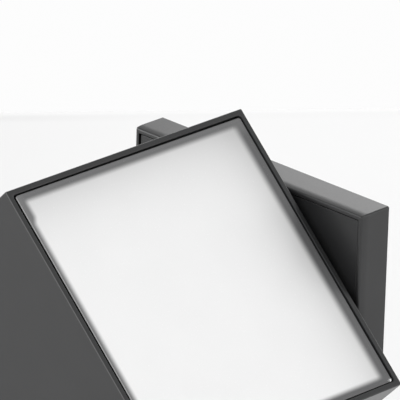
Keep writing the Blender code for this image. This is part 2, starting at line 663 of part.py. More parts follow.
def head_housing():
    """Five-sided cast shell. Its open side has the rim, the diffuser's seat and the ledge."""
    bm = soft_box((-HEAD_HALF, HEAD_FRONT, -HEAD_HALF), (HEAD_HALF, HEAD_BACK, HEAD_HALF), EDGE)
    housing = solid("head_housing", bm, POWDER, head_pivot)
    levels = [
        ("head_seat", SEAT_X, SEAT_Y, SEAT_Z, FACE_Z + OVERLAP, SEAT_RADIUS, 3),
        ("head_mouth", MOUTH_X, MOUTH_Y, SEAT_BOTTOM - OVERLAP, SEAT_Z + OVERLAP, SEAT_RADIUS, 3),
        ("head_cavity", CAVITY_X, CAVITY_Y, FLOOR_Z, SEAT_BOTTOM, SEAT_RADIUS, 2),
    ]
    for level in levels:
        combine(housing, head_level(*level), "DIFFERENCE")
    root = FLOOR_Z - OVERLAP
    bm = rods([((x, y, root), (x, y, COLUMN_TOP)) for x, y in COLUMNS], COLUMN_RADIUS, HOLE_SIDES)
    pad_top = FLOOR_Z + DRIVER_PAD
    for x, y in DRIVER_SCREWS:
        rod(bm, (x, y, root), (x, y, pad_top), DRIVER_PAD_RADIUS, HOLE_SIDES)
    rod(bm, (0, HEAD_BACK - OVERLAP, 0), (0, HEAD_BOSS_END, 0), BOSS_RADIUS, FINE_STEPS)
    x, z = HOUSING_EARTH_AT
    rod(bm, (x, HEAD_BACK - OVERLAP, z), (x, HOUSING_EARTH_SEAT, z), HOUSING_EARTH_BOSS, HOLE_SIDES)
    front_edge = HEAD_MID - MOUTH_Y
    for side in (-1, 1):
        near, far = side * (MOUTH_X - PAD_LENGTH), side * (MOUTH_X + OVERLAP)
        box(bm, (min(near, far), front_edge - OVERLAP, SEAT_BOTTOM),
            (max(near, far), front_edge + PAD_WIDTH, SEAT_Z - FINE))
    combine(housing, tool("housing_bosses", bm, head_pivot), "UNION")
    low, high = COLUMN_TOP - COLUMN_BORE_DEPTH, COLUMN_TOP + OVERLAP
    bm = rods([((x, y, low), (x, y, high)) for x, y in COLUMNS], M3_CLEAR, HOLE_SIDES)
    for x, y in DRIVER_SCREWS:
        rod(bm, (x, y, FLOOR_Z), (x, y, pad_top + OVERLAP), M3_CLEAR, HOLE_SIDES)
    x, z = HOUSING_EARTH_AT
    deepest = HEAD_BACK - HEAD_WALL / 4
    rod(bm, (x, deepest, z), (x, HOUSING_EARTH_SEAT - OVERLAP, z), M3_CLEAR, HOLE_SIDES)
    outside, inside = HEAD_BACK + OVERLAP, HEAD_BOSS_END - OVERLAP
    rod(bm, (0, outside, 0), (0, inside, 0), TUBE_RADIUS + FINE, FINE_STEPS)
    combine(housing, tool("housing_holes", bm, head_pivot), "DIFFERENCE")


def diffuser():
    """Opal plate, sunk a little below the rim, and the seal that it lies on."""
    half_x, half_y = SEAT_X - DIFFUSER_GAP_X, SEAT_Y - DIFFUSER_GAP_Y
    middle_y = HEAD_MID + DIFFUSER_SET_Y
    low = (DIFFUSER_SET_X - half_x, middle_y - half_y, DIFFUSER_BOTTOM)
    high = (DIFFUSER_SET_X + half_x, middle_y + half_y, DIFFUSER_TOP)
    solid("diffuser", plate(low, high, 2, DIFFUSER_CORNER, 4), OPAL, head_pivot)
    top = GASKET_BOTTOM + GASKET_THICK
    square_ring("diffuser_gasket", half_x, half_y, GASKET_WIDTH, GASKET_BOTTOM, top,
                2, SILICONE, head_pivot, (0, HEAD_MID, 0))


def tapered(bm, top_x, top_y, bottom_x, bottom_y, low, high):
    """A box that narrows downwards."""
    for vert in box(bm, (-1, -1, low), (1, 1, high)):
        half_x, half_y = (top_x, top_y) if vert.co.z > (low + high) / 2 else (bottom_x, bottom_y)
        vert.co.x *= half_x
        vert.co.y = HEAD_MID + vert.co.y * half_y


def reflector_frame():
    """White sloping walls between the board and the diffuser."""
    top_x, top_y = MOUTH_X - 2 * REST, MOUTH_Y - PAD_WIDTH - 2 * REST
    bottom_x, bottom_y = BOARD_X / 2, BOARD_Y / 2
    bm = bmesh.new()
    tapered(bm, top_x, top_y, bottom_x, bottom_y, REFLECTOR_BOTTOM, REFLECTOR_TOP)
    frame = solid("reflector_frame", bm, WHITE, head_pivot)
    bm = bmesh.new()
    slope_x = (top_x - bottom_x) / REFLECTOR_DEPTH * OVERLAP + REFLECTOR_WALL
    slope_y = (top_y - bottom_y) / REFLECTOR_DEPTH * OVERLAP + REFLECTOR_WALL
    tapered(bm, top_x - 2 * REFLECTOR_WALL + slope_x, top_y - 2 * REFLECTOR_WALL + slope_y,
            bottom_x - slope_x, bottom_y - slope_y,
            REFLECTOR_BOTTOM - OVERLAP, REFLECTOR_TOP + OVERLAP)
    combine(frame, tool("reflector_inside", bm, head_pivot), "DIFFERENCE")


def head_plate(name, size_x, size_y, low, high, look, corner=0.001):
    """A flat plate centred in the head."""
    bm = plate((-size_x / 2, HEAD_MID - size_y / 2, low), (size_x / 2, HEAD_MID + size_y / 2, high),
               2, corner, 2)
    return solid(name, bm, look, head_pivot)


def light_engine():
    """Board with its light chips, thermal pad and the plate that spreads the heat."""
    size_x, size_y = BOARD_X - 2 * REST, BOARD_Y - 2 * REST
    board = head_plate("led_board", size_x, size_y, BOARD_BOTTOM, BOARD_TOP, MASK)
    pad_top = PAD_BOTTOM + PAD_THICK
    pad = head_plate("thermal_pad", BOARD_X - 0.002, BOARD_Y - 0.002, PAD_BOTTOM, pad_top, THERMAL)
    sink = head_plate("heat_sink_plate", PLATE_X, PLATE_Y, PLATE_BOTTOM, PLATE_TOP, ALUMINIUM)
    bm = bmesh.new()
    wide, long, high = CHIP
    steps = [(number - (CHIPS_EACH_WAY - 1) / 2) * CHIP_PITCH for number in range(CHIPS_EACH_WAY)]
    for x in steps:
        for y in steps:
            middle = HEAD_MID + y
            box(bm, (x - wide / 2, middle - long / 2, BOARD_TOP - BOARD_THICK / 2),
                (x + wide / 2, middle + long / 2, BOARD_TOP + high))
    combine(board, tool("light_chips", bm, head_pivot), "UNION")
    low, high = PLATE_BOTTOM - OVERLAP, BOARD_TOP + OVERLAP
    bm = rods([((x, y, low), (x, y, high)) for x, y in BOARD_SCREWS], M3_CLEAR, HOLE_SIDES)
    rod(bm, (*LEAD_HOLE, low), (*LEAD_HOLE, high), LEAD_HOLE_RADIUS, HOLE_SIDES)
    holes = tool("board_holes", bm, head_pivot)
    for piece in (board, pad, sink):
        combine(piece, holes, "DIFFERENCE")
    bm = rods([((x, y, low), (x, y, PLATE_TOP + OVERLAP)) for x, y in COLUMNS], PLATE_HOLE, HOLE_SIDES)
    combine(sink, tool("plate_holes", bm, head_pivot), "DIFFERENCE")
    down = (0, 0, -1)
    for number, (x, y) in enumerate(BOARD_SCREWS, 1):
        seat = (x, y, BOARD_TOP + REST)
        screw_piece(f"led_board_screw_{number}", BOARD_PAN, M3_MEDIUM, seat, down, STAINLESS, head_pivot)
    for number, (x, y) in enumerate(COLUMNS, 1):
        seat = (x, y, PLATE_TOP + REST)
        screw_piece(f"heat_sink_screw_{number}", M3_PAN, M3_LONG, seat, down, STAINLESS, head_pivot)


def led_driver():
    """Potted driver on two pads of the housing floor, with an ear and a screw at each end."""
    half_x, half_y = DRIVER_X / 2, DRIVER_Y / 2
    low = (-half_x, DRIVER_Y_MID - half_y, DRIVER_BOTTOM)
    high = (half_x, DRIVER_Y_MID + half_y, DRIVER_TOP)
    driver = solid("led_driver", soft_box(low, high, DRIVER_CORNER), DRIVER, head_pivot)
    bm = bmesh.new()
    reach = half_y + DRIVER_EAR
    ear_top = DRIVER_BOTTOM + DRIVER_EAR_THICK
    box(bm, (-DRIVER_EAR_HALF, DRIVER_Y_MID - reach, DRIVER_BOTTOM),
        (DRIVER_EAR_HALF, DRIVER_Y_MID + reach, ear_top))
    combine(driver, tool("driver_ears", bm, head_pivot), "UNION")
    low, high = DRIVER_BOTTOM - OVERLAP, ear_top + OVERLAP
    bm = rods([((x, y, low), (x, y, high)) for x, y in DRIVER_SCREWS], M3_CLEAR, HOLE_SIDES)
    for x in (-DRIVER_TERMINAL_X, DRIVER_TERMINAL_X):
        bottom, mouth = DRIVER_INLET_Y - DRIVER_LEAD_DEPTH, DRIVER_INLET_Y + OVERLAP
        rod(bm, (x, bottom, DRIVER_MID_Z), (x, mouth, DRIVER_MID_Z), ENTRY_RADIUS, HOLE_SIDES)
        bottom, mouth = DRIVER_TOP - DRIVER_LEAD_DEPTH, DRIVER_TOP + OVERLAP
        rod(bm, (x, DRIVER_OUTLET_Y, bottom), (x, DRIVER_OUTLET_Y, mouth), ENTRY_RADIUS, HOLE_SIDES)
    combine(driver, tool("driver_holes", bm, head_pivot), "DIFFERENCE")
    for number, (x, y) in enumerate(DRIVER_SCREWS, 1):
        seat = (x, y, ear_top + REST)
        screw_piece(f"driver_screw_{number}", M3_PAN, M3_MEDIUM, seat, (0, 0, -1), STAINLESS, head_pivot)


def head_wiring():
    """Jacketed cable through the pivot tube, its cores to the driver and the earth screw, and the
    two leads up to the board."""
    jacket_end = Vector((0.0, -0.0458, -0.0180))
    wire("swivel_cable", [
        (0, -0.0080, 0), (0, -0.0200, 0), (0, -0.0330, 0), (0, -0.0415, -0.0030),
        (0, -0.0455, -0.0110), jacket_end,
    ], JACKET, BLACK, head_pivot)
    for name, side, look in (("driver_live_wire", -1, BROWN), ("driver_neutral_wire", 1, BLUE)):
        near, x = side * 0.0014, side * DRIVER_TERMINAL_X
        wire(name, [
            jacket_end + Vector((near, -0.0007, -0.0004)),
            jacket_end + Vector((near * 1.3, 0.0002, -0.0055)),
            (x * 0.75, -0.0438, -0.0300), (x, -0.0432, DRIVER_MID_Z + 0.0024),
            (x, -0.0450, DRIVER_MID_Z + 0.0002), (x, DRIVER_INLET_Y, DRIVER_MID_Z),
            (x, DRIVER_INLET_Y - 0.0035, DRIVER_MID_Z),
        ], WIRE, look, head_pivot)
    earth_x, earth_z = HOUSING_EARTH_AT
    wire("housing_earth_wire", [
        jacket_end + Vector((0, 0.0016, -0.0004)), jacket_end + Vector((0.0008, 0.0040, -0.0046)),
        (0.0080, -0.0370, -0.0235), (0.0190, -0.0280, -0.0150),
        (earth_x - 0.0006, HOUSING_EARTH_SEAT - 0.0018, earth_z - M3_PAN[0] - 0.0015),
    ], WIRE, EARTH, head_pivot)
    seat = (earth_x, HOUSING_EARTH_SEAT - REST, earth_z)
    screw_piece("housing_earth_screw", M3_PAN, M3_SHORT, seat, (0, 1, 0), BRASS, head_pivot)
    x, y = LEAD_HOLE
    for name, side, look in (("led_lead_positive", 1, RED), ("led_lead_negative", -1, BLACK)):
        outlet = side * DRIVER_TERMINAL_X
        wire(name, [
            (x + side * 0.0056, y, BOARD_TOP + 0.0009), (x + side * 0.0040, y, BOARD_TOP + 0.0022),
            (x + side * 0.0018, y, BOARD_TOP + 0.0006), (x + side * 0.0014, y, BOARD_BOTTOM),
            (x + side * 0.0014, y, PLATE_BOTTOM - 0.002), (x + side * 0.003, y - 0.006, 0.008),
            (outlet, DRIVER_OUTLET_Y + 0.006, -0.010), (outlet, DRIVER_OUTLET_Y, DRIVER_TOP + 0.002),
            (outlet, DRIVER_OUTLET_Y, DRIVER_TOP - 0.0035),
        ], LED_WIRE, look, head_pivot)


wall_bracket()
wall_gasket()
wall_box_frame()
front_cover()
cover_fasteners()
terminal_block()
wall_box_wiring()
pivot()
head_housing()
diffuser()
reflector_frame()
light_engine()
led_driver()
head_wiring()
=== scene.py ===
"""Looks of the outdoor wall lantern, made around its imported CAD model.

All sizes are in metres, +Z is up and -Y points out of the wall. The head's pieces are made with the
diffuser facing +Z and turned about the Y axis to where the CAD model has them. The wall box's pieces
are made with +Z pointing out of the wall.
"""

import json
import math
from functools import partial

import bmesh
import bpy
from mathutils import Matrix, Vector

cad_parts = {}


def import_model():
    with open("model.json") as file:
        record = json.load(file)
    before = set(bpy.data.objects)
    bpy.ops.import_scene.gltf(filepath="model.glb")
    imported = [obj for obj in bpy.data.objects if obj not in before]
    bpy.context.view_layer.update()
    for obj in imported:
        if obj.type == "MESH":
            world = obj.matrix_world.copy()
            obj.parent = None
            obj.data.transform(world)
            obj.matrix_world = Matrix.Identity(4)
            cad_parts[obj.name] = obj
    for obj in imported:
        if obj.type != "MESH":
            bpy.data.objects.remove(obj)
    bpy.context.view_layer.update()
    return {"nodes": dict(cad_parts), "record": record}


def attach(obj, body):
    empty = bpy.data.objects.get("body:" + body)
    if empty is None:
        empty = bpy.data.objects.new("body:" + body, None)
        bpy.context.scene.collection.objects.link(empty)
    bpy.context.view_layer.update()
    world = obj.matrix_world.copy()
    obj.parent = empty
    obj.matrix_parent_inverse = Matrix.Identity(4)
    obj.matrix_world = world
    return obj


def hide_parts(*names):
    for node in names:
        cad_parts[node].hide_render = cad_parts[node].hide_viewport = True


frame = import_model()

NODES = frame["nodes"]
SCENE = bpy.context.scene

# Shell sizes that the two boxes share with the CAD model.
RIM = 0.0020
HEAD_WALL = 0.0025
SEAT_LEDGE = 0.0034
SEAT_DEPTH = 0.0039
SEAT_LEDGE_THICK = 0.0025
SEAT_CORNER = 0.0014
DIFFUSER_CORNER = 0.0010
COVER_THICK = 0.0020
LEDGE_FRONT = 0.00955    # from the wall
LEDGE_THICK = 0.0015
LEDGE_WIDTH = 0.0040
GUSSET = 0.014
POCKET_CORNER = 0.0005
BOX_CORNER = 0.0007
HEAD_CORNER = 0.0005
COVER_CORNER = 0.0003
COVER_SLACK = 0.0001
CORNER_STEPS = 8
ARC_STEPS = 4

# What many profiles and cuts have in common.
CAP = 0.010              # inset of the last ring before a flat face is closed
SOFT = 0.0002            # rounding of a small edge
PAST = 0.001             # how far a cutter runs past a face
FINE_STEPS = 64          # sides of a large bore
HOLE_DEPTH = 0.010
HOLE_FLOOR = 0.0006      # what a blind hole leaves of a wall

# The camera, and what it looks at.
CAMERA_TURN = math.radians(43.9015)
CAMERA_RISE = math.radians(22.5855)
CAMERA_ROLL = math.radians(1.6818)
CAMERA_REACH = 2.17838
CAMERA_LENS = 570.27
CAMERA_AIM = Vector((0.00298, -0.03986, 0.05219))


# ------------ the frame's own sizes

def head_turn():
    """How far the diffuser's face is turned about Y from facing straight up."""
    faces = [p for p in NODES["diffuser"].data.polygons if p.normal.z > 0 and abs(p.normal.y) < 0.01]
    normal = max(faces, key=lambda p: p.area).normal
    return math.atan2(normal.x, normal.z)


HEAD_TURN = head_turn()
HEAD = Matrix.Rotation(HEAD_TURN, 4, "Y")
WALL = Matrix.Rotation(math.radians(90.0), 4, "X")
SWIVEL = HEAD @ WALL     # +Z out of the wall, turned with the head


def box_in(axes, node):
    """A CAD node's lowest and highest corner in other axes."""
    back = axes.inverted()
    points = [back @ vert.co for vert in NODES[node].data.vertices]
    return [Vector([pick(p[i] for p in points) for i in range(3)]) for pick in (min, max)]


HEAD_LOW, HEAD_HIGH = box_in(HEAD, "head_housing")
HEAD_MID = (HEAD_LOW + HEAD_HIGH) / 2
HEAD_HALF = (HEAD_HIGH - HEAD_LOW) / 2
BOX_LOW, BOX_HIGH = box_in(WALL, "wall_box_frame")
BOX_HALF = (BOX_HIGH - BOX_LOW) / 2
BOX_FRONT = BOX_HIGH.z
BOX_BACK = BOX_LOW.z
COVER_LOW, COVER_HIGH = box_in(WALL, "front_cover")
COVER_FRONT = COVER_HIGH.z
COVER_BACK = COVER_FRONT - COVER_THICK


# ------------ materials

def shader_of(name, color, roughness, metallic=0.0):
    """A new material, its node tree and its Principled shader."""
    made = bpy.data.materials.new(name)
    made.use_nodes = True
    shader = made.node_tree.nodes["Principled BSDF"]
    shader.inputs["Base Color"].default_value = (*color, 1.0)
    shader.inputs["Roughness"].default_value = roughness
    shader.inputs["Metallic"].default_value = metallic
    return made, made.node_tree, shader


def node(tree, kind, inputs=None, **settings):
    """A new node with its settings and inputs. An input's value is a number, or a socket to link."""
    made = tree.nodes.new("ShaderNode" + kind)
    for key, value in settings.items():
        setattr(made, key, value)
    for key, value in (inputs or {}).items():
        if isinstance(value, bpy.types.NodeSocket):
            tree.links.new(value, made.inputs[key])
        else:
            made.inputs[key].default_value = value
    return made


def place_in(tree, space="Object"):
    """The X, Y and Z of a point in a coordinate space."""
    return node(tree, "SeparateXYZ", {"Vector": node(tree, "TexCoord").outputs[space]}).outputs


def calculated(tree, operation, first, second):
    """The result of a math operation. Both values may be sockets."""
    return node(tree, "Math", {0: first, 1: second}, operation=operation).outputs[0]


def noise(tree, size, detail, stretch=(1, 1, 1)):
    """Noise whose features have about the given size in object coordinates."""
    where = node(tree, "TexCoord").outputs["Object"]
    scale = [s / size for s in stretch]
    scaled = node(tree, "Mapping", {"Vector": where, "Scale": scale}).outputs[0]
    return node(tree, "TexNoise", {"Vector": scaled, "Scale": 1.0, "Detail": detail}).outputs["Fac"]


def ramp(tree, factor, low_value, high_value, low=0.0, high=1.0, smooth=False):
    """Turns a factor between low and high into values between low_value and high_value."""
    kind = "SMOOTHSTEP" if smooth else "LINEAR"
    inputs = {"Value": factor, "From Min": low, "From Max": high, "To Min": low_value, "To Max": high_value}
    return node(tree, "MapRange", inputs, interpolation_type=kind, clamp=True).outputs["Result"]


def blend(tree, factor, first, second):
    """A mix of two colours. Either may be a socket."""
    made = node(tree, "Mix", data_type="RGBA")
    tree.links.new(factor, made.inputs["Factor"])
    for key, value in (("A", first), ("B", second)):
        socket = [s for s in made.inputs if s.name == key and s.type == "RGBA"][0]
        if isinstance(value, bpy.types.NodeSocket):
            tree.links.new(value, socket)
        else:
            socket.default_value = (*value, 1.0)
    return [s for s in made.outputs if s.type == "RGBA"][0]


def tinted(color, share):
    """A colour made darker or lighter."""
    return tuple(min(1.0, c * share) for c in color)


def relief(tree, shader, height, depth, strength=1.0):
    """Bump of a given depth from a height factor."""
    bump = node(tree, "Bump", {"Height": height, "Distance": depth, "Strength": strength})
    tree.links.new(bump.outputs["Normal"], shader.inputs["Normal"])


NOISE_SPAN = (0.3, 0.7)  # between these lie nearly all values of a noise
SLOW = 24                # size of the slow noise over that of the fine one


def grained(name, color, roughness, grain, depth, metallic=0.0, spread=0.08, wave=0.06,
            stretch=(1, 1, 1)):
    """A material whose surface, colour and roughness follow a fine noise and a slow one."""
    made, tree, shader = shader_of(name, color, roughness, metallic)
    fine = noise(tree, grain, 4.0, stretch)
    slow = noise(tree, grain * SLOW, 2.0, stretch)
    color_socket = blend(tree, slow, tinted(color, 1 - wave), tinted(color, 1 + wave))
    tree.links.new(color_socket, shader.inputs["Base Color"])
    rough = ramp(tree, fine, roughness - spread, roughness + spread, *NOISE_SPAN)
    tree.links.new(rough, shader.inputs["Roughness"])
    relief(tree, shader, fine, depth)
    return made


ANTHRACITE = (0.0226, 0.0229, 0.0236)
# A painted highlight: the coat is painted lighter on the edge between the head's front and its rim.
COAT_EDGE_HIGHLIGHT = (0.10, 0.10, 0.101)
COAT_HIGHLIGHT_FROM = 0.00034      # from the corner of the head's front and its rim
COAT_HIGHLIGHT_TO = 0.00020
PEEL = 0.0009
PEEL_DEPTH = 0.00002
COAT_CLOUD = 0.014


def powder_coat():
    """Anthracite powder coat: a fine orange peel, and a painted highlight on the edge between the
    head's front and its rim."""
    made, tree, shader = shader_of("powder_coat", ANTHRACITE, 0.30)
    peel = noise(tree, PEEL, 2.0)
    cloud = ramp(tree, noise(tree, COAT_CLOUD, 3.0), 0.0, 1.0, *NOISE_SPAN)
    base = blend(tree, cloud, tinted(ANTHRACITE, 0.94), tinted(ANTHRACITE, 1.06))
    where = place_in(tree)
    # Painted highlight along the edge between the head's front and its rim.
    front = ramp(tree, where["Y"], 1.0, 0.0, HEAD_LOW.y + COAT_HIGHLIGHT_TO, HEAD_LOW.y + COAT_HIGHLIGHT_FROM)
    face = ramp(tree, where["Z"], 0.0, 1.0, HEAD_HIGH.z - COAT_HIGHLIGHT_FROM, HEAD_HIGH.z - COAT_HIGHLIGHT_TO)
    coat_highlight = calculated(tree, "MULTIPLY", front, face)
    tree.links.new(blend(tree, coat_highlight, base, COAT_EDGE_HIGHLIGHT), shader.inputs["Base Color"])
    tree.links.new(ramp(tree, peel, 0.28, 0.32, *NOISE_SPAN), shader.inputs["Roughness"])
    relief(tree, shader, peel, PEEL_DEPTH, 0.2)
    return made


# The opal plate's lit window at each of the plate's edges: the axis and side of the edge, where the
# window begins, the share of painted shade there, how far in that painted shade reaches, and half the blur.
WINDOW = {
    "top": ("X", 1, 0.0029, 0.35, 0.0102, 0.0012),
    "bottom": ("X", -1, 0.0026, 0.18, 0.0080, 0.0012),
    "front": ("Y", 1, 0.0018, 0.20, 0.0090, 0.0014),
    "back": ("Y", -1, 0.0044, 0.42, 0.0114, 0.0019),
}
OPAL = (0.875, 0.875, 0.875)
# The border is the dark ledge showing through the plate. Its tone is painted lighter along the top edge and
# lighter still along the front edge, as painted light.
SIDE_BORDER = (0.112, 0.112, 0.114)
TOP_BORDER = (0.145, 0.145, 0.147)
FRONT_BORDER = (0.17, 0.17, 0.172)
# Painted shade for the plate's sides, in the gap round the plate.
GAP_SHADE = (0.022, 0.022, 0.022)

# Each is a span over which one look of the plate passes into the next.
TOP_SPAN = (0.0035, 0.0080)  # from the top edge
FRONT_SPAN = (0.0015, 0.0035)  # from the front edge
PLATE_HIGHLIGHT_SPAN = (0.0001, 0.0003)  # from the front edge, over which a painted highlight lines the plate
PAD_SPAN = (0.0085, 0.0120)  # from the corners, where a pad widens the front border
GLINT_SPAN = (0.0005, 0.0015)  # from the corner with the painted glint
GAP_SHADE_SPAN = (0.00022, 0.00030)  # below the face, where the plate's side is painted near-black as shade in the gap round the plate
PAD_STEP = 0.0013
RAGGED = 0.0008
# How far from the back edge the painted glint sits.
GLINT_FROM_BACK = 0.0004
OPAL_CLOUD = 0.020
SATIN = 0.0006
PLATE_TURN = math.radians(-0.14)


def opal():
    """Opal acrylic over a lit tray. Round its edge it lies on the dark ledge, which shows through. Its
    window is darkened by painted shade towards each edge, its sides are painted near-black as shade
    in the gap round it, its border is painted lighter along the top and front edges, a painted
    highlight lines its front edge and a painted glint sits at one corner.
    """
    made, tree, shader = shader_of("opal_acrylic", OPAL, 0.22)
    low, high = box_in(HEAD, "diffuser")
    where = place_in(tree)
    math_of = partial(calculated, tree)

    def inside(axis, side):
        """How far a point is from one edge of the plate."""
        edge = getattr(low if side > 0 else high, axis.lower())
        return math_of("MULTIPLY", math_of("SUBTRACT", where[axis], edge), side)

    depth = {name: inside(axis, side) for name, (axis, side, *_) in WINDOW.items()}
    front_edge = depth["front"]
    for end in ("top", "bottom"):
        step = ramp(tree, depth[end], PAD_STEP, 0.0, *PAD_SPAN, smooth=True)
        depth["front"] = math_of("SUBTRACT", depth["front"], step)
    # Painted shade: the window is darkened towards each edge, most towards the back edge beside the wall
    # box.
    window, light = None, None
    for name, (_, _, begin, loss, reach, blur) in WINDOW.items():
        opened = ramp(tree, depth[name], 0.0, 1.0, begin - blur, begin + blur, smooth=True)
        decay = math_of("POWER", math.exp(-1.0 / reach), depth[name])
        kept = math_of("SUBTRACT", 1.0, math_of("MULTIPLY", decay, loss))
        window = opened if window is None else math_of("MULTIPLY", window, opened)
        light = kept if light is None else math_of("MULTIPLY", light, kept)
    cloud = ramp(tree, noise(tree, OPAL_CLOUD, 2.0), 0.0, 1.0, *NOISE_SPAN)
    lit = blend(tree, cloud, tinted(OPAL, 0.985), OPAL)
    shade = blend(tree, light, (0.0, 0.0, 0.0), lit)
    # Painted light: the border is lighter along the top edge and lighter still along the front edge.
    along_top = ramp(tree, depth["top"], 1.0, 0.0, *TOP_SPAN, smooth=True)
    edge = blend(tree, along_top, SIDE_BORDER, TOP_BORDER)
    edge = blend(tree, ramp(tree, front_edge, 0.0, 1.0, *FRONT_SPAN), FRONT_BORDER, edge)
    face = blend(tree, window, edge, shade)
    # A painted highlight: a light line along the plate's front edge.
    plate_highlighted = blend(tree, ramp(tree, front_edge, 1.0, 0.0, *PLATE_HIGHLIGHT_SPAN), face, tinted(OPAL, 0.62))
    # A painted glint: a ragged near-white spot on the border at the corner between the bottom and back
    # edges.
    corner = (high.x, high.y - GLINT_FROM_BACK, high.z)
    away = node(tree, "VectorMath", {0: node(tree, "TexCoord").outputs["Object"], 1: corner},
                operation="DISTANCE").outputs["Value"]
    jitter = ramp(tree, noise(tree, 0.0005, 2.0), -RAGGED, RAGGED, *NOISE_SPAN)
    chip = ramp(tree, math_of("ADD", away, jitter), 0.9, 0.0, *GLINT_SPAN)
    glinted = blend(tree, chip, plate_highlighted, OPAL)
    # Painted shade: below its face the plate's sides are painted near-black, as the gap round the plate is
    # in shade.
    below = math_of("SUBTRACT", high.z, where["Z"])
    gap_shaded = blend(tree, ramp(tree, below, 0.0, 1.0, *GAP_SHADE_SPAN), glinted, GAP_SHADE)
    tree.links.new(gap_shaded, shader.inputs["Base Color"])
    satin = noise(tree, SATIN, 3.0)
    tree.links.new(ramp(tree, satin, 0.20, 0.28, *NOISE_SPAN), shader.inputs["Roughness"])
    relief(tree, shader, satin, 0.000004)
    return made


BRUSH = (1.0, 0.06, 1.0)  # how rolled metal's grain is drawn out

# Each slot's material, colour, roughness, grain and depth of grain, and where they differ from the
# usual also how metallic it is, the spread of its roughness and the wave in its colour.
GRAINED = {
    "zinc_steel": ("zinc_plate", (0.60, 0.61, 0.63), 0.34, 0.0012, 0.000010, 1.0, 0.10, 0.12),
    "stainless": ("stainless_steel", (0.55, 0.55, 0.56), 0.27, 0.0006, 0.000006, 1.0, 0.08, 0.05),
    "bare_aluminium": ("rolled_aluminium", (0.72, 0.73, 0.75), 0.40, 0.0005, 0.000008, 1.0, 0.10,
                       0.04, BRUSH),
    "brass": ("brass", (0.75, 0.58, 0.25), 0.30, 0.0005, 0.000006, 1.0, 0.08, 0.08),
    "black_rubber": ("black_rubber", (0.020, 0.020, 0.021), 0.75, 0.0005, 0.000015),
    "foam": ("closed_cell_foam", (0.085, 0.086, 0.092), 0.92, 0.0007, 0.00020, 0.0, 0.05, 0.15),
    "grey_silicone": ("grey_silicone", (0.40, 0.40, 0.41), 0.60, 0.0008, 0.000010),
    "white_plastic": ("white_moulding", (0.86, 0.86, 0.85), 0.42, 0.0005, 0.000010, 0.0, 0.06, 0.02),
    "thermal_pad": ("thermal_pad", (0.33, 0.43, 0.60), 0.80, 0.0006, 0.000020),
    "driver_plastic": ("driver_case", (0.80, 0.80, 0.78), 0.50, 0.0004, 0.000015, 0.0, 0.06, 0.02),
    "terminal_plastic": ("terminal_polyamide", (0.78, 0.76, 0.68), 0.42, 0.0006, 0.000010),
    "black_acetal": ("black_acetal", (0.028, 0.028, 0.029), 0.35, 0.0004, 0.000006),
    "black_insulation": ("black_insulation", (0.022, 0.022, 0.023), 0.50, 0.0006, 0.000012),
    "led_board": ("white_solder_mask", (0.88, 0.89, 0.88), 0.32, 0.0006, 0.000006, 0.0, 0.05, 0.02),
}
WIRE_COLORS = {
    "brown_insulation": (0.16, 0.06, 0.025),
    "blue_insulation": (0.03, 0.12, 0.45),
    "red_insulation": (0.50, 0.02, 0.02),
    "earth_insulation": (0.30, 0.48, 0.06),
}
LOOKS = {
    "powder_coat": powder_coat(),
    "opal_diffuser": opal(),
    **{slot: grained(*row) for slot, row in GRAINED.items()},
    **{slot: grained(slot, color, 0.42, 0.0005, 0.000008) for slot, color in WIRE_COLORS.items()},
}


# ------------ mesh helpers

QUARTERS = [(1, 1), (-1, 1), (-1, -1), (1, -1)]
LEAST_CORNER = 0.00002


def rectangle(half_x, half_y, corner, cut):
    """Points of a rectangle with round corners, or cut ones where cut is 1, anticlockwise."""
    corner = max(corner, LEAST_CORNER)
    points = []
    for quarter, (side_x, side_y) in enumerate(QUARTERS):
        centre = Vector((side_x * (half_x - corner), side_y * (half_y - corner)))

        def on_arc(share):
            angle = math.radians(90.0 * (quarter + share))
            return centre + corner * Vector((math.cos(angle), math.sin(angle)))

        first, last = on_arc(0.0), on_arc(1.0)
        for step in range(CORNER_STEPS + 1):
            share = step / CORNER_STEPS
            points.append(on_arc(share).lerp(first.lerp(last, share), cut))
    return points


def filleted(profile, closed=False):
    """Rounds a profile's corners. Each corner is (a, b, fillet radius, ...), and what follows the
    radius is carried along. Returns (a, b, offset of a from the corner, ...) points."""
    found = []
    count = len(profile)
    for index, (a, b, radius, *rest) in enumerate(profile):
        here = Vector((a, b))
        if radius == 0.0 or (not closed and index in (0, count - 1)):
            found.append((a, b, 0.0, *rest))
            continue
        before = (Vector(profile[index - 1][:2]) - here).normalized()
        after = (Vector(profile[(index + 1) % count][:2]) - here).normalized()
        half = before.angle(after) / 2
        centre = here + (before + after).normalized() * radius / math.sin(half)
        start = here + before * radius / math.tan(half) - centre
        end = here + after * radius / math.tan(half) - centre
        sweep = start.angle(end)
        for step in range(ARC_STEPS + 1):
            share = step / ARC_STEPS
            turned = start * math.sin((1 - share) * sweep) + end * math.sin(share * sweep)
            point = centre + turned / math.sin(sweep)
            found.append((point.x, point.y, point.x - a, *rest))
    return found


def skin(rings, closed):
    """A mesh through rings of points. The last ring meets the first, or both ends are capped."""
    bm = bmesh.new()
    made = [[bm.verts.new(point) for point in ring] for ring in rings]
    pairs = list(zip(made, made[1:]))
    if closed:
        pairs.append((made[-1], made[0]))
    for low, high in pairs:
        count = len(low)
        for i in range(count):
            j = (i + 1) % count
            bm.faces.new((low[i], low[j], high[j], high[i]))
    if not closed:
        bm.faces.new(list(reversed(made[0])))
        bm.faces.new(made[-1])
    bmesh.ops.recalc_face_normals(bm, faces=bm.faces)
    return bm


def lofted(half, centre, profile, closed=False):
    """A shell round a rectangle. Its profile's corners are (inset, height, fillet, corner, cut)."""
    rings = []
    for inset, height, offset, corner, cut in filleted(profile, closed):
        outline = rectangle(half.x - inset, half.y - inset, corner - offset, cut)
        rings.append([(p.x + centre.x, p.y + centre.y, height) for p in outline])
    return skin(rings, closed)


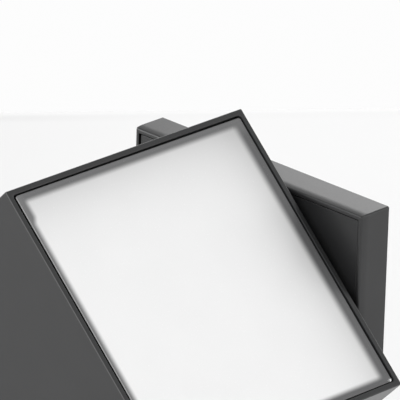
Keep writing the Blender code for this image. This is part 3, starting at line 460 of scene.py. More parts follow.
def slab(half, centre, low, high, corner, low_soft, high_soft):
    """A flat plate with round corners and soft edges."""
    return lofted(half, centre, [
        (CAP, low, 0.0, corner, 0), (0.0, low, low_soft, corner, 0),
        (0.0, high, high_soft, corner, 0), (CAP, high, 0.0, corner, 0),
    ])


def lathed(profile, steps=96, closed=True):
    """A piece turned about Z. Its profile's corners are (radius, height, fillet)."""
    rings = []
    for radius, height, _ in filleted(profile, closed):
        angles = [2 * math.pi * i / steps for i in range(steps)]
        rings.append([(radius * math.cos(a), radius * math.sin(a), height) for a in angles])
    return skin(rings, closed)


def cylinder(start, end, radius, steps=32):
    """A plain round bar, for cutting or joining."""
    bm = bmesh.new()
    start, end = Vector(start), Vector(end)
    turn = (end - start).to_track_quat("Z", "Y").to_matrix().to_4x4()
    bmesh.ops.create_cone(
        bm, cap_ends=True, segments=steps, radius1=radius, radius2=radius,
        depth=(end - start).length, matrix=Matrix.Translation((start + end) / 2) @ turn,
    )
    return bm


def cuboid(low, high):
    """A plain box, for cutting or joining."""
    bm = bmesh.new()
    low, high = Vector(low), Vector(high)
    place = Matrix.Translation((low + high) / 2) @ Matrix.Diagonal((*(high - low), 1.0))
    bmesh.ops.create_cube(bm, size=1.0, matrix=place)
    return bm


def prism(corners, axis, low, high):
    """A straight bar along an axis. Its outline's corners are (a, b, fillet) in the other two axes."""
    rings = []
    for end in (low, high):
        ring = []
        for a, b, _ in filleted(corners, True):
            point = [a, b]
            point.insert(axis, end)
            ring.append(point)
        rings.append(ring)
    return skin(rings, False)


def slot_outline(middle, half_length, half_width):
    """Outline of a slot with round ends."""
    turn = half_width * 0.999
    return [(middle[0] + x * half_length, middle[1] + y * half_width, turn) for x, y in QUARTERS]


BOSS_FLARE = (0.0005, 0.0006)
BOSS_EDGE = 0.0003


def boss(x, y, radius, root, end):
    """A round boss with a flared root and a soft edge, for joining."""
    flare, height = BOSS_FLARE
    foot = root + math.copysign(height, end - root)
    profile = [(radius + flare, root, 0.0), (radius, foot, 0.0), (radius, end, BOSS_EDGE),
               (radius / 2, end, 0.0)]
    shape = lathed(profile, 48, False)
    bmesh.ops.translate(shape, verts=shape.verts, vec=(x, y, 0))
    return shape


def together(shapes):
    """Several shapes in one mesh."""
    bm = bmesh.new()
    for shape in shapes:
        mesh = bpy.data.meshes.new("part")
        shape.to_mesh(mesh)
        shape.free()
        bm.from_mesh(mesh)
        bpy.data.meshes.remove(mesh)
    return bm


def object_of(name, bm):
    """A linked object with the given mesh."""
    mesh = bpy.data.meshes.new(name)
    bm.to_mesh(mesh)
    bm.free()
    made = bpy.data.objects.new(name, mesh)
    SCENE.collection.objects.link(made)
    return made


def applied(made):
    """Turns an object's modifiers into mesh."""
    evaluated = made.evaluated_get(bpy.context.evaluated_depsgraph_get())
    made.data = bpy.data.meshes.new_from_object(evaluated)
    made.modifiers.clear()


def sculpted(name, bm, steps):
    """Builds an object from a base shape and (operation, shape) steps, and applies them."""
    base = object_of(name, bm)
    others = []
    for operation, shape in steps:
        other = object_of(name + "_step", shape)
        others.append(other)
        modifier = base.modifiers.new("step", "BOOLEAN")
        modifier.operation = operation
        modifier.solver = "EXACT"
        modifier.use_self = True
        modifier.object = other
    if others:
        applied(base)
        for other in others:
            bpy.data.objects.remove(other)
    return base


BEVEL_ABOVE = math.radians(50.0)


def finished(made, axes, body, slot, *nodes, sharp=40.0, bevel=0.0):
    """Shades a piece, puts it in its place, gives it its material and body, and hides the CAD nodes it
    stands for.
    """
    made.data.materials.clear()
    made.data.materials.append(LOOKS[slot])
    if bevel:
        edges = made.modifiers.new("edges", "BEVEL")
        edges.width = bevel
        edges.segments = 2
        edges.limit_method = "ANGLE"
        edges.angle_limit = BEVEL_ABOVE
        applied(made)
    made.data.shade_smooth()
    made.data.set_sharp_from_angle(angle=math.radians(sharp))
    normals = made.modifiers.new("normals", "WEIGHTED_NORMAL")
    normals.keep_sharp = True
    made.matrix_world = axes
    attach(made, body)
    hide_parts(*nodes)


# ------------ the head

COLUMNS = [(x * 0.046, HEAD_MID.y + y * 0.047) for x, y in QUARTERS]
COLUMN_RADIUS = 0.0035
COLUMN_GAP = 0.0003      # below the heat sink plate
COLUMN_CLEARANCE = 0.0019
DRIVER_SCREWS = [(0.0, HEAD_MID.y - 0.010 + side * 0.039) for side in (-1, 1)]
DRIVER_EAR = 0.008
DRIVER_EAR_HALF = 0.0065
DRIVER_EAR_THICK = 0.003
DRIVER_PAD = 0.004
DRIVER_PAD_RADIUS = 0.0040
DRIVER_HOLE = 0.006
DRIVER_CORNER = 0.0020
DRIVER_LID = 0.0030
DRIVER_WIRES = (-0.006, 0.006)
HEAD_EARTH_AT = (0.027, 0.0)
HEAD_EARTH_BOSS = (0.0045, 0.0030, 40)  # radius, height and sides
PIVOT_BOSS = (0.012, 0.0025, FINE_STEPS)
PIVOT_BORE = 0.0062
MOUTH_PAD = (0.011, 0.0014)  # length and width, in the front corners of the mouth
SCREW_HOLE = 0.0018
WIRE_HOLE = 0.0014
ROOT = 0.001             # how deep a boss goes into its wall
BOARD_SCREWS = [(x * 0.036, HEAD_MID.y + y * 0.037, SCREW_HOLE) for x, y in QUARTERS]
LEAD_HOLE = (0.0, HEAD_MID.y + 0.0355, 0.003)
PLATE_CORNER = 0.001
CHIP_HEIGHT = 0.0007
CHIP_SINK = 0.00015
CHIP_CORNER = 0.0002
CHIP_HALF = Vector((0.0014, 0.00175, 0.0))
CHIP_WINDOW_HALF = Vector((0.00095, 0.0013, 0.0))
CHIP_PITCH = 0.014
CHIPS_IN_ROW = 5


def head_shell():
    """Five-sided cast shell with a crisp rim round the diffuser's seat."""
    top, bottom = HEAD_HIGH.z, HEAD_LOW.z
    seat = top - SEAT_DEPTH
    ledge = RIM + SEAT_LEDGE
    profile = [
        (CAP, bottom, 0.0, HEAD_CORNER, 0),
        (0.0, bottom, 0.0003, HEAD_CORNER, 0),
        (0.0, top, 0.0004, HEAD_CORNER, 0),
        (RIM, top, SOFT, SEAT_CORNER, 0),
        (RIM, seat, SOFT, SEAT_CORNER, 0),
        (ledge, seat, SOFT, SEAT_CORNER, 0),
        (ledge, seat - SEAT_LEDGE_THICK, 0.0004, SEAT_CORNER, 0),
        (HEAD_WALL, seat - SEAT_LEDGE_THICK, 0.0004, SEAT_CORNER, 0),
        (HEAD_WALL, bottom + HEAD_WALL, 0.0015, SEAT_CORNER, 0),
        (0.015, bottom + HEAD_WALL, 0.0, SEAT_CORNER, 0),
    ]
    shell = lofted(HEAD_HALF, HEAD_MID, profile)
    back, inner, floor_top = HEAD_HIGH.y, HEAD_HIGH.y - HEAD_WALL, bottom + HEAD_WALL
    root = floor_top - ROOT
    column_top = box_in(HEAD, "heat_sink_plate")[0].z - COLUMN_GAP
    bosses = [boss(x, y, COLUMN_RADIUS, root, column_top) for x, y in COLUMNS]
    bosses += [boss(x, y, DRIVER_PAD_RADIUS, root, floor_top + DRIVER_PAD) for x, y in DRIVER_SCREWS]
    for (x, z), (radius, height, sides) in (((0, 0), PIVOT_BOSS), (HEAD_EARTH_AT, HEAD_EARTH_BOSS)):
        bosses.append(cylinder((x, back - ROOT, z), (x, inner - height, z), radius, sides))
    mouth = HEAD_HALF - Vector((ledge, ledge, 0.0))
    front = HEAD_MID.y - mouth.y
    for side in (-1, 1):
        near, far = sorted((side * (mouth.x - MOUTH_PAD[0]), side * (mouth.x + ROOT)))
        bosses.append(cuboid((near, front - ROOT, seat - SEAT_LEDGE_THICK),
                             (far, front + MOUTH_PAD[1], seat - SOFT)))
    holes = [cylinder((x, y, column_top - HOLE_DEPTH), (x, y, column_top + PAST), SCREW_HOLE)
             for x, y in COLUMNS]
    holes += [cylinder((x, y, floor_top), (x, y, floor_top + DRIVER_HOLE), SCREW_HOLE)
              for x, y in DRIVER_SCREWS]
    x, z = HEAD_EARTH_AT
    holes.append(cylinder((x, back - HOLE_FLOOR, z), (x, back - HOLE_DEPTH, z), SCREW_HOLE))
    holes.append(cylinder((0, back + PAST, 0), (0, back - HOLE_DEPTH, 0), PIVOT_BORE, FINE_STEPS))
    steps = [("UNION", together(bosses)), ("DIFFERENCE", together(holes))]
    made = sculpted("head_shell", shell, steps)
    finished(made, HEAD, "head", "powder_coat", "head_housing")


def diffuser_plate():
    """Opal plate, a little below the rim."""
    low, high = box_in(HEAD, "diffuser")
    plate = slab((high - low) / 2, (high + low) / 2, low.z, high.z, DIFFUSER_CORNER, SOFT, 0.0003)
    lying = HEAD @ Matrix.Rotation(PLATE_TURN, 4, "Z")
    finished(sculpted("opal_plate", plate, []), lying, "head", "opal_diffuser", "diffuser")


def reflector():
    """White frame whose four walls slope from the board out to the seal."""
    low, high = box_in(HEAD, "reflector_frame")
    middle, half = (low + high) / 2, (high - low) / 2
    board_low, board_high = box_in(HEAD, "led_board")
    board = (board_high - board_low) / 2
    gap, wall, soft = 0.0003, 0.0015, 0.0003
    slope = half.x - board.x - gap
    depth = half.y - board.y - gap
    profile = [
        (0.0, high.z, soft), (slope, low.z, soft), (slope + wall, low.z, soft), (wall, high.z, soft),
    ]
    rings = []
    for inset, height, _ in filleted(profile, True):
        share = inset / slope
        outline = rectangle(half.x - inset, half.y - share * depth, 0.0012, 0)
        rings.append([(p.x + middle.x, p.y + middle.y, height) for p in outline])
    made = object_of("reflector", skin(rings, True))
    finished(made, HEAD, "head", "white_plastic", "reflector_frame", sharp=50.0)


def flat_piece(name, node_name, slot, soft, holes=(), chips=()):
    """A flat plate in the head, with the holes for the board's screws and leads and some more."""
    low, high = box_in(HEAD, node_name)
    top = high.z - (CHIP_HEIGHT if chips else 0.0)
    plate = slab((high - low) / 2, (high + low) / 2, low.z, top, PLATE_CORNER, soft, soft)
    cuts = [cylinder((x, y, low.z - PAST), (x, y, top + PAST), radius)
            for x, y, radius in (*BOARD_SCREWS, LEAD_HOLE, *holes)]
    steps = [("DIFFERENCE", together(cuts))]
    if chips:
        steps.append(("UNION", together([light_chip(x, y, top) for x, y in chips])))
    finished(sculpted(name, plate, steps), HEAD, "head", slot, node_name)


def light_chip(x, y, top):
    """A light chip with a sunken window."""
    foot, head = top - 0.0004, top + CHIP_HEIGHT
    profile = [
        (0.0006, foot, 0.0, CHIP_CORNER, 0), (0.0, foot, 0.0, CHIP_CORNER, 0),
        (0.0, head, 0.0001, CHIP_CORNER, 0), (0.0003, head, 0.0, CHIP_CORNER, 0),
        (0.0004, head - CHIP_SINK, 0.0, CHIP_CORNER, 0), (0.0009, head - CHIP_SINK, 0.0, CHIP_CORNER, 0),
    ]
    return lofted(CHIP_HALF, Vector((x, y, 0.0)), profile)


def light_engine():
    """Board with light chips, thermal pad and the plate that spreads the heat."""
    steps = [CHIP_PITCH * (number - CHIPS_IN_ROW // 2) for number in range(CHIPS_IN_ROW)]
    chips = [(x, HEAD_MID.y + y) for x in steps for y in steps]
    flat_piece("light_board", "led_board", "led_board", 0.0001, chips=chips)
    sunk = box_in(HEAD, "led_board")[1].z - CHIP_SINK
    domed = [
        (0.0003, sunk - 0.0001, 0.0, CHIP_CORNER, 0), (0.0, sunk - 0.0001, 0.0, CHIP_CORNER, 0),
        (0.0, sunk + 0.00005, 0.0, CHIP_CORNER, 0), (0.0003, sunk + 0.00009, 0.0, CHIP_CORNER, 0),
    ]
    windows = [lofted(CHIP_WINDOW_HALF, Vector((x, y, 0.0)), domed) for x, y in chips]
    made = object_of("chip_windows", together(windows))
    finished(made, HEAD, "head", "led_board")
    made.data.materials[0] = grained("phosphor", (0.85, 0.60, 0.10), 0.45, 0.0004, 0.000006)
    flat_piece("heat_pad", "thermal_pad", "thermal_pad", SOFT)
    columns = [(x, y, COLUMN_CLEARANCE) for x, y in COLUMNS]
    flat_piece("heat_plate", "heat_sink_plate", "bare_aluminium", 0.0004, columns)


def driver_case():
    """Potted driver with a stepped lid and an ear at each end."""
    low, high = box_in(HEAD, "led_driver")
    ear_top = low.z + DRIVER_EAR_THICK
    half = (high - low) / 2 - Vector((0.0, DRIVER_EAR, 0.0))
    middle = (high + low) / 2
    lid, groove = high.z - DRIVER_LID, 0.0003
    profile = [
        (CAP, low.z, 0.0, DRIVER_CORNER, 0),
        (0.0, low.z, 0.0006, DRIVER_CORNER, 0),
        (0.0, lid - groove, 0.0, DRIVER_CORNER, 0),
        (groove, lid, 0.0, DRIVER_CORNER, 0),
        (groove, lid + groove, 0.0, DRIVER_CORNER, 0),
        (0.0, lid + 2 * groove, 0.0, DRIVER_CORNER, 0),
        (0.0, high.z, 0.0010, DRIVER_CORNER, 0),
        (CAP, high.z, 0.0, DRIVER_CORNER, 0),
    ]
    reach = half.y + DRIVER_EAR
    outline = [(x * DRIVER_EAR_HALF, middle.y + y * reach, 0.003) for x, y in QUARTERS]
    ears = prism(outline, 2, low.z, ear_top)
    cuts = [cylinder((x, y, low.z - PAST), (x, y, ear_top + PAST), SCREW_HOLE) for x, y in DRIVER_SCREWS]
    inlet, outlet, depth = middle.y + half.y, middle.y + 0.010, 0.005
    for x in DRIVER_WIRES:
        cuts.append(cylinder((x, inlet - depth, middle.z), (x, inlet + PAST, middle.z), WIRE_HOLE))
        cuts.append(cylinder((x, outlet, high.z - depth), (x, outlet, high.z + PAST), WIRE_HOLE))
    steps = [("UNION", ears), ("DIFFERENCE", together(cuts))]
    made = sculpted("driver_case", lofted(half, middle, profile), steps)
    finished(made, HEAD, "head", "driver_plastic", "led_driver")


# ------------ the wall box

COVER_SCREWS = [(x * 0.045, y * 0.045) for x, y in QUARTERS]
EARTH_AT = (0.033, 0.034)
BLOCK_SCREW_AT = (0.00425, 0.034)
STOP_LUG_AT = (0.003753, 0.014006)
EJECTOR_MARKS = [(x * a, y * b) for x, y in QUARTERS for a, b in ((0.036, 0.022), (0.020, 0.040))]
CROWN = (0.00045, 0.0020, 0.0126)  # how far the rim's side leans in, over what height, how softly
SHALLOW_ROOT = 0.0005    # how deep a boss goes into the cover
COVER_BOSS = (0.0032, 0.0013)  # radius and height
EARTH_BOSS = (0.0042, 0.0026)
STOP_LUG = (0.0016, 0.0040)
EJECTOR_MARK = (0.0025, 0.00012)
COVER_BORE = 0.0084
SIDE_SCREW_HEIGHT = 0.0053
SIDE_HOLE = 0.0022
BRACKET_THICK = 0.0015
BRACKET_BEND = 0.0016
BURR = 0.00012           # bevel on the edges of pressed steel
RING_CORNER = 0.0014
POLES = (-0.0085, 0.0, 0.0085)
POLE_HEIGHT = 0.0062
POLE_COLLAR = (0.0027, 0.0006)
POLE_SINK = 0.0014
POLE_ENTRY = 0.0045      # how far in the wires' holes go
GROOVE_HALF = 0.0004
GROOVE_DEPTH = 0.0012
GROOVE_START = 0.0030    # from the block's middle
BLOCK_SCREW_HOLE = 0.0016


def wall_box_rim():
    """Square rim with an inner ledge and corner gussets for the cover's screws."""
    ledge = RIM + LEDGE_WIDTH
    front, back = LEDGE_FRONT, LEDGE_FRONT - LEDGE_THICK
    lean, lean_height, lean_soft = CROWN
    profile = [
        (0.0, BOX_BACK, 0.00015, BOX_CORNER, 0),
        (0.0, BOX_FRONT - lean_height, lean_soft, BOX_CORNER, 0),
        (lean, BOX_FRONT, 0.0008, BOX_CORNER, 0),
        (RIM, BOX_FRONT, SOFT, POCKET_CORNER, 0),
        (RIM, front, SOFT, POCKET_CORNER, 0),
        (ledge, front, SOFT, GUSSET, 1),
        (ledge, back, SOFT, GUSSET, 1),
        (RIM, back, 0.0004, POCKET_CORNER, 0),
        (RIM, BOX_BACK, 0.0003, POCKET_CORNER, 0),
    ]
    holes = [cylinder((x, y, back - PAST), (x, y, front + PAST), SCREW_HOLE) for x, y in COVER_SCREWS]
    for side in (-1, 1):
        near, far = side * (BOX_HALF.x - RIM - PAST), side * (BOX_HALF.x + PAST)
        holes.append(cylinder((near, 0, SIDE_SCREW_HEIGHT), (far, 0, SIDE_SCREW_HEIGHT), SIDE_HOLE))
    shell = lofted(BOX_HALF, Vector((0, 0)), profile, closed=True)
    made = sculpted("wall_box_rim", shell, [("DIFFERENCE", together(holes))])
    finished(made, WALL, "wall_box", "powder_coat", "wall_box_frame")


def cover_plate():
    """Flush plate inside the rim, with its bosses, the stop lug and the marks of the ejector pins."""
    half = (COVER_HIGH - COVER_LOW) / 2 - Vector((1, 1, 1)) * COVER_SLACK
    plate = slab(half, Vector((0, 0)), COVER_BACK, COVER_FRONT, COVER_CORNER, SOFT, SOFT)
    root = COVER_BACK + SHALLOW_ROOT
    places = [(at, COVER_BOSS) for at in COVER_SCREWS] + [(EARTH_AT, EARTH_BOSS), (STOP_LUG_AT, STOP_LUG)]
    bosses = [boss(*at, radius, root, COVER_BACK - height) for at, (radius, height) in places]
    cuts = [cylinder((0, 0, COVER_BACK - PAST), (0, 0, COVER_FRONT + PAST), COVER_BORE, FINE_STEPS)]
    for x, y in (*COVER_SCREWS, EARTH_AT, BLOCK_SCREW_AT):
        cuts.append(cylinder((x, y, 0), (x, y, COVER_FRONT - HOLE_FLOOR), SCREW_HOLE, 24))
    radius, depth = EJECTOR_MARK
    for x, y in EJECTOR_MARKS:
        cuts.append(cylinder((x, y, 0.005), (x, y, COVER_BACK + depth), radius))
    steps = [("UNION", together(bosses)), ("DIFFERENCE", together(cuts))]
    finished(sculpted("cover_plate", plate, steps), WALL, "wall_box", "powder_coat", "front_cover")


def bent_bracket():
    """Pressed steel bar: round corners, two slots, and an ear bent forward at each end."""
    _, high = box_in(WALL, "wall_bracket")
    out, deep, wide = high.x, high.z, high.y
    ear = wide * 0.6
    thick = BRACKET_THICK
    within, around = BRACKET_BEND * 0.6, BRACKET_BEND + thick * 0.6
    side = [
        (-out, deep, 0.0), (-out, 0.0, around), (out, 0.0, around), (out, deep, 0.0),
        (out - thick, deep, 0.0), (out - thick, thick, within), (thick - out, thick, within),
        (thick - out, deep, 0.0),
    ]
    shoulder = out - 0.0045
    face = []
    for x, y in QUARTERS:
        corner = [(x * (out + PAST), y * ear, 0.0), (x * shoulder, y * ear, 0.0009),
                  (x * shoulder, y * wide, 0.0025)]
        face.extend(corner if x * y > 0 else reversed(corner))
    bar, step = 0.014, 0.0035
    ends = [
        (-bar, -PAST, 0.0), (bar, -PAST, 0.0), (bar, step, 0.0), (ear, step, 0.0),
        (ear, deep, 0.0022), (-ear, deep, 0.0022), (-ear, step, 0.0), (-bar, step, 0.0),
    ]
    slots = [prism(slot_outline((x * 0.030, 0.0), 0.007, 0.0025), 2, -PAST, 0.003) for x in (-1, 1)]
    steps = [
        ("INTERSECT", prism(face, 2, -0.002, 0.012)),
        ("INTERSECT", prism(ends, 0, -0.060, 0.060)),
        ("DIFFERENCE", together(slots)),
    ]
    made = sculpted("bent_bracket", prism(side, 1, -0.020, 0.020), steps)
    finished(made, WALL, "wall_box", "zinc_steel", "wall_bracket", bevel=BURR)


def strip(name, node_name, axes, width, body, slot, soft=SOFT):
    """A rectangular ring of soft material, where the CAD has one."""
    low, high = box_in(axes, node_name)
    profile = [
        (0.0, low.z, soft, RING_CORNER, 0), (0.0, high.z, soft, RING_CORNER, 0),
        (width, high.z, soft, RING_CORNER, 0), (width, low.z, soft, RING_CORNER, 0),
    ]
    shape = lofted((high - low) / 2, (high + low) / 2, profile, closed=True)
    finished(object_of(name, shape), axes, body, slot, node_name)


def terminal_body():
    """Three-pole block with a collar round each screw and grooves between the poles."""
    low, high = box_in(WALL, "terminal_block")
    middle = (low + high) / 2
    body = slab((high - low) / 2, middle, low.z, high.z, 0.0008, 0.0003, 0.0003)
    radius, height = POLE_COLLAR
    collars, cuts = [], []
    for x in POLES:
        collars.append(boss(x, middle.y, radius, low.z + ROOT, low.z - height))
        cuts.append(cylinder((x, middle.y, 0), (x, middle.y, low.z + POLE_SINK), SCREW_HOLE))
        for end, inner in ((low.y - PAST, low.y + POLE_ENTRY), (high.y + PAST, high.y - POLE_ENTRY)):
            cuts.append(cylinder((x, end, POLE_HEIGHT), (x, inner, POLE_HEIGHT), WIRE_HOLE))
    before, after = middle.y - GROOVE_START, middle.y + GROOVE_START
    for x in (POLES[0] / 2, POLES[2] / 2):
        for start, end in ((low.y - PAST, before), (after, high.y + PAST)):
            cuts.append(cuboid((x - GROOVE_HALF, start, low.z - PAST),
                               (x + GROOVE_HALF, end, low.z + GROOVE_DEPTH)))
    near, far = high.x - 0.003, high.x + PAST
    cuts.append(cylinder((near, middle.y, POLE_HEIGHT), (far, middle.y, POLE_HEIGHT), WIRE_HOLE))
    cuts.append(cylinder((*BLOCK_SCREW_AT, 0), (*BLOCK_SCREW_AT, 0.012), BLOCK_SCREW_HOLE))
    steps = [("UNION", together(collars)), ("DIFFERENCE", together(cuts))]
    made = sculpted("terminal_body", body, steps)
    finished(made, WALL, "wall_box", "terminal_plastic", "terminal_block")


# ------------ screws, nuts and turned pieces

TUBE_BORE = 0.0061       # of all that sits on the pivot tube
BUSH_BORE = 0.0062
BUSH_NECK = 0.0082
BUSH_FLANGE = 0.0008
TUBE_HOLLOW = 0.0044
O_RING_HALF = 0.0012
STOP_RADIUS = 0.011
STOP_TAB_HALF = 0.0015
STOP_TAB_ROOT = 0.0098


def threaded(radius, high, low, pitch=0.0005, depth=0.00016):
    """Profile corners down the flanks of a screw's thread."""
    corners = []
    turns = int((high - low - pitch) / pitch)
    for number in range(turns):
        top = high - number * pitch
        corners += [(radius - depth, top, 0.0), (radius, top - pitch / 2, 0.0)]
    return [*corners, (radius - depth, high - turns * pitch, 0.0), (radius - 2 * depth, low, 0.0)]


# How a pan head swells from its top to its seat, in shares of its radius and height.
PAN = ((0.30, 1.0), (0.62, 0.95), (0.86, 0.76), (0.98, 0.42), (1.0, 0.15), (0.97, 0.0))
# A drive's depth as a share of the head's height, and the drives' sizes as shares of its radius.
DRIVE_DEPTH, SLOT_DEPTH = 0.55, 0.8
HEX, SLOT, CROSS = 0.52, 0.16, (0.13, 0.58)


def screw_mesh(head_radius, head_height, shank, length, drive):
    """A pan-head screw from the seat's level, with its drive cut into the head."""
    top = head_height
    profile = [(head_radius * across, top * up, 0.0) for across, up in PAN]
    profile += [(shank, 0.0, 0.0), *threaded(shank, -0.0002, -length)]
    depth = top * DRIVE_DEPTH
    if drive == "hex":
        cutter = cylinder((0, 0, top - depth), (0, 0, top + PAST), head_radius * HEX, 6)
    elif drive == "slot":
        half = head_radius * SLOT
        cutter = cuboid((-head_radius, -half, top - depth * SLOT_DEPTH), (head_radius, half, top + PAST))
    else:
        wide, long = (head_radius * share for share in CROSS)
        arms = [cuboid((-a, -b, top - depth), (a, b, top + PAST)) for a, b in ((wide, long), (long, wide))]
        cutter = together(arms)
    made = sculpted("screw", lathed(profile, 40, False), [("DIFFERENCE", cutter)])
    mesh = made.data
    bpy.data.objects.remove(made)
    return mesh


# Head radius, head height, shank radius and drive of each kind of screw.
M3_PAN = (0.0028, 0.0019, 0.0015, "cross")
BOARD_PAN = (0.0024, 0.0014, 0.0015, "cross")
BLOCK_PAN = (0.0022, 0.0012, 0.0013, "cross")
TERMINAL_GRUB = (0.0015, 0.0009, 0.0010, "slot")
SIDE_GRUB = (0.0020, 0.0028, 0.0020, "hex")


def screws():
    """Every screw, where the CAD has it. Each kind and length is made once."""
    outward, down = Vector((0, 1, 0)), HEAD.to_3x3() @ Vector((0, 0, 1))
    rows = [(f"cover_screw_{n}", outward, M3_PAN) for n in range(1, 5)]
    rows += [("terminal_block_screw", outward, BLOCK_PAN), ("base_earth_screw", outward, M3_PAN)]
    rows += [(f"terminal_screw_{pole}", outward, TERMINAL_GRUB) for pole in ("live", "neutral", "earth")]
    rows += [("side_set_screw_left", Vector((-1, 0, 0)), SIDE_GRUB)]
    rows += [("side_set_screw_right", Vector((1, 0, 0)), SIDE_GRUB)]
    rows += [(f"led_board_screw_{n}", down, BOARD_PAN) for n in range(1, 5)]
    rows += [(f"heat_sink_screw_{n}", down, M3_PAN) for n in range(1, 5)]
    rows += [(f"driver_screw_{n}", down, M3_PAN) for n in (1, 2)]
    rows += [("housing_earth_screw", -outward, M3_PAN)]
    slots = {row["node"]: row["material_slot"] for row in frame["record"]["subparts"]}
    kinds = {}
    for name, up, kind in rows:
        turn = up.to_track_quat("Z", "Y").to_matrix().to_4x4()
        low, high = box_in(turn, name)
        length = round(high.z - low.z - kind[1], 5)
        if (kind, length) not in kinds:
            kinds[kind, length] = screw_mesh(*kind[:3], length, kind[3])
        seat = Vector(((low.x + high.x) / 2, (low.y + high.y) / 2, high.z - kind[1]))
        made = bpy.data.objects.new(name + "_made", kinds[kind, length].copy())
        SCENE.collection.objects.link(made)
        body = "wall_box" if name in frame["record"]["behaviour"]["bodies"]["wall_box"] else "head"
        finished(made, turn @ Matrix.Translation(seat), body, slots[name], name, sharp=32.0)


def nut(name, node_name):
    """A hexagon nut with its corners chamfered on both sides."""
    low, high = box_in(SWIVEL, node_name)
    across = min(high.x - low.x, high.y - low.y) / 2
    corner = across / math.cos(math.radians(30.0))
    chamfer = (corner - across) * 0.6
    outer = corner + 0.0002
    ring = lathed([
        (TUBE_BORE, low.z, 0.0), (across * 0.97, low.z, 0.0), (outer, low.z + chamfer, 0.0),
        (outer, high.z - chamfer, 0.0), (across * 0.97, high.z, 0.0), (TUBE_BORE, high.z, 0.0),
    ])
    hexagon = cylinder((0, 0, low.z - PAST), (0, 0, high.z + PAST), corner, 6)
    made = sculpted(name, ring, [("INTERSECT", hexagon)])
    finished(made, SWIVEL, "head", "zinc_steel", node_name, sharp=25.0)


def ring_profile(outer, low, high, soft):
    """Profile corners of a washer on the pivot tube."""
    return [(radius, height, soft) for radius, height in (
        (TUBE_BORE, low), (outer, low), (outer, high), (TUBE_BORE, high))]


def turned_pieces():
    """Washers, the bush, the swivel disc, the O-ring and the threaded tube about the swivel's axis."""
    def place(node_name):
        low, high = box_in(SWIVEL, node_name)
        return low.z, high.z, high.x

    def made(node_name, profile, body, slot, sharp=35.0):
        piece = object_of(node_name + "_made", lathed(profile))
        finished(piece, SWIVEL, body, slot, node_name, sharp=sharp)

    for node_name in ("spring_washer", "pivot_head_washer"):
        low, high, outer = place(node_name)
        made(node_name, ring_profile(outer, low, high, (high - low) * 0.2), "head", "stainless")
    low, high, outer = place("swivel_disc")
    groove, seat = 0.0094, high - 0.0021
    made("swivel_disc", [
        (TUBE_BORE, low, SOFT), (outer, low, 0.0003), (outer, high, 0.0003), (groove, high, SOFT),
        (groove, seat, 0.0003), (TUBE_BORE, seat, SOFT),
    ], "head", "black_acetal")
    low, high, outer = place("pivot_bush")
    flange = low + BUSH_FLANGE
    made("pivot_bush", [
        (BUSH_BORE, low, SOFT), (outer, low, SOFT), (outer, flange, SOFT),
        (BUSH_NECK, flange, 0.0001), (BUSH_NECK, high, SOFT), (BUSH_BORE, high, SOFT),
    ], "wall_box", "black_acetal")
    low, high, outer = place("swivel_o_ring")
    middle, half = (low + high) / 2, (high - low) / 2
    rounds = [math.radians(22.5 * step) for step in range(16)]
    made("swivel_o_ring", [
        (outer - O_RING_HALF + O_RING_HALF * math.cos(a), middle + half * math.sin(a), 0.0) for a in rounds
    ], "head", "black_rubber", 60.0)
    low, high, outer = place("pivot_tube")
    thread = [(radius, -height, 0.0) for radius, height, _ in
              threaded(outer, -low - 0.0004, -low - 0.0060, 0.00075, 0.00025)]
    made("pivot_tube", [
        (TUBE_HOLLOW, low, 0.0), *thread, (outer, high - 0.0003, 0.0), (outer - 0.0003, high, 0.0),
        (TUBE_HOLLOW, high, 0.0),
    ], "head", "zinc_steel", 25.0)


def stop_plate():
    """The washer whose tab meets the lug behind the cover."""
    low, high = box_in(SWIVEL, "stop_washer")
    ring = lathed(ring_profile(STOP_RADIUS, low.z, high.z, 0.0))
    reach = low.y if -low.y > high.y else high.y
    start, end = sorted((math.copysign(STOP_TAB_ROOT, reach), reach))
    tab = cuboid((-STOP_TAB_HALF, start, low.z), (STOP_TAB_HALF, end, high.z))
    made = sculpted("stop_plate", ring, [("UNION", tab)])
    finished(made, SWIVEL, "head", "zinc_steel", "stop_washer", bevel=BURR)


def dress_the_rest():
    """CAD nodes that keep their shape get their slot's material and a weld of their split vertices, and the
    insulated wires are rounded.
    """
    for row in frame["record"]["subparts"]:
        made = NODES[row["node"]]
        if made.hide_render:
            continue
        made.data.materials.clear()
        made.data.materials.append(LOOKS[row["material_slot"]])
        weld = made.modifiers.new("weld", "WELD")
        weld.merge_threshold = 0.000001
        if "insulation" in row["material_slot"]:
            rounder = made.modifiers.new("rounder", "SUBSURF")
            rounder.levels = rounder.render_levels = 2


# ------------ the stage

def camera():
    """A long lens, close on the head and from a little above it."""
    data = bpy.data.cameras.new("camera")
    data.lens = CAMERA_LENS
    data.clip_start = 0.05
    data.clip_end = 50.0
    made = bpy.data.objects.new("camera", data)
    SCENE.collection.objects.link(made)
    level = math.cos(CAMERA_RISE)
    ahead = Vector((
        -math.sin(CAMERA_TURN) * level, math.cos(CAMERA_TURN) * level, -math.sin(CAMERA_RISE)
    ))
    made.matrix_world = (
        Matrix.Translation(CAMERA_AIM - ahead * CAMERA_REACH)
        @ Matrix.Rotation(CAMERA_TURN, 4, "Z")
        @ Matrix.Rotation(math.radians(90.0) - CAMERA_RISE, 4, "X")
        @ Matrix.Rotation(CAMERA_ROLL, 4, "Z")
    )
    SCENE.camera = made


FLOOR_HEIGHT = -0.2000
FLOOR_TURN = CAMERA_TURN + math.radians(6.2)
FLOOR_FAR_EDGE = 0.6825
FLOOR_NEAR_EDGE = 6.0
FLOOR_HALF_WIDTH = 5.0
# Painted shade: the floor is a little darker on the left than on the right.
FLOOR_LEFT = (0.815, 0.815, 0.815)
FLOOR_RIGHT = (0.842, 0.842, 0.842)
FLOOR_BEHIND = (0.87, 0.87, 0.87)
FLOOR_BLEND = (-0.10, 0.05)
FOLD = 0.007
FOLD_SHADES = (0.93, 0.99)  # how dark the fold's painted shade is at the left and at the right


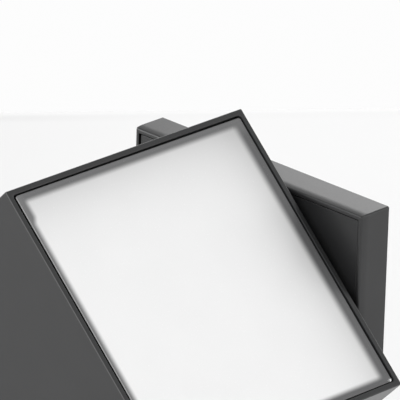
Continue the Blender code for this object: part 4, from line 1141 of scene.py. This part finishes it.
def floor():
    """Plain pale floor with a faint fold behind the object, seen from the camera. Its tone is painted
    shade: darker on the left than on the right, and darker along the fold, with a lighter strip past it.
    """
    bm = bmesh.new()
    for x, y in QUARTERS:
        bm.verts.new((x * FLOOR_HALF_WIDTH, FLOOR_FAR_EDGE if y > 0 else -FLOOR_NEAR_EDGE, 0.0))
    bm.faces.new(bm.verts[:])
    made = object_of("floor", bm)
    made.matrix_world = Matrix.Rotation(FLOOR_TURN, 4, "Z") @ Matrix.Translation((0, 0, FLOOR_HEIGHT))
    look, tree, shader = shader_of("pale_floor", FLOOR_RIGHT, 0.9)
    where = place_in(tree)
    # Painted shade across the floor, darker to the left.
    across = ramp(tree, where["X"], 0.0, 1.0, *FLOOR_BLEND, smooth=True)
    plain = blend(tree, across, FLOOR_LEFT, FLOOR_RIGHT)
    left, right = FOLD_SHADES
    dark = blend(tree, across, tinted(FLOOR_LEFT, left), tinted(FLOOR_RIGHT, right))
    # Painted shade of a fold: a darker line just before the far edge, and a lighter strip past it.
    middle = FLOOR_FAR_EDGE - FOLD
    into = ramp(tree, where["Y"], 0.0, 1.0, middle - FOLD, middle, smooth=True)
    out = ramp(tree, where["Y"], 0.0, 1.0, middle, FLOOR_FAR_EDGE, smooth=True)
    folded = blend(tree, out, blend(tree, into, plain, dark), FLOOR_BEHIND)
    tree.links.new(folded, shader.inputs["Base Color"])
    made.data.materials.append(look)


# The surroundings' strength below and above the horizon, what it loses higher up in two steps, and
# the spans of height over which it changes.
STRENGTH, HORIZON = (0.98, 2.36), (-0.02, 0.03)
FIRST_LOSS, FIRST_SPAN = 1.50, (0.18, 0.32)
SECOND_LOSS, SECOND_SPAN = 0.26, (0.50, 0.70)


def world():
    """Pale surroundings with a bright band round the horizon."""
    made = bpy.data.worlds.new("studio")
    made.use_nodes = True
    tree = made.node_tree
    background = tree.nodes["Background"]
    background.inputs["Color"].default_value = (1.0, 1.0, 1.0, 1.0)
    height = place_in(tree, "Generated")["Z"]
    band = ramp(tree, height, *STRENGTH, *HORIZON, smooth=True)
    above = ramp(tree, height, 0.0, FIRST_LOSS, *FIRST_SPAN, smooth=True)
    higher = ramp(tree, height, 0.0, SECOND_LOSS, *SECOND_SPAN, smooth=True)
    shade = calculated(tree, "SUBTRACT", calculated(tree, "SUBTRACT", band, above), higher)
    tree.links.new(shade, background.inputs["Strength"])
    SCENE.world = made


# Soft boxes: where each is seen from the object, how far off, its side and its power.
SOFT_BOXES = {
    "behind": ((-0.41, 0.83, 0.40), 0.95, 0.58, 1.4),
    "left": ((-0.75, -0.55, 0.35), 1.3, 0.8, 7.0),
    "right": ((0.90, 0.10, 0.40), 1.3, 0.8, 2.3),
}


def lights():
    """Soft boxes round the object, which the camera doesn't see."""
    for name, (direction, reach, side, power) in SOFT_BOXES.items():
        data = bpy.data.lights.new(name, "AREA")
        data.shape = "SQUARE"
        data.size = side
        data.energy = power
        made = bpy.data.objects.new(name, data)
        towards = Vector(direction).normalized()
        made.location = towards * reach
        made.rotation_euler = towards.to_track_quat("Z", "Y").to_euler()
        made.visible_camera = False
        SCENE.collection.objects.link(made)


head_shell()
diffuser_plate()
reflector()
light_engine()
driver_case()
wall_box_rim()
cover_plate()
bent_bracket()
strip("foam_strip", "wall_gasket", WALL, 0.0035, "wall_box", "foam", soft=0.0005)
strip("cover_seal", "cover_gasket", WALL, 0.0026, "wall_box", "black_rubber")
strip("diffuser_seal", "diffuser_gasket", HEAD, 0.0030, "head", "grey_silicone")
terminal_body()
screws()
nut("lock_nut", "pivot_lock_nut")
nut("head_nut", "pivot_head_nut")
turned_pieces()
stop_plate()
dress_the_rest()
camera()
floor()
world()
lights()
SCENE.view_settings.view_transform = "Standard"
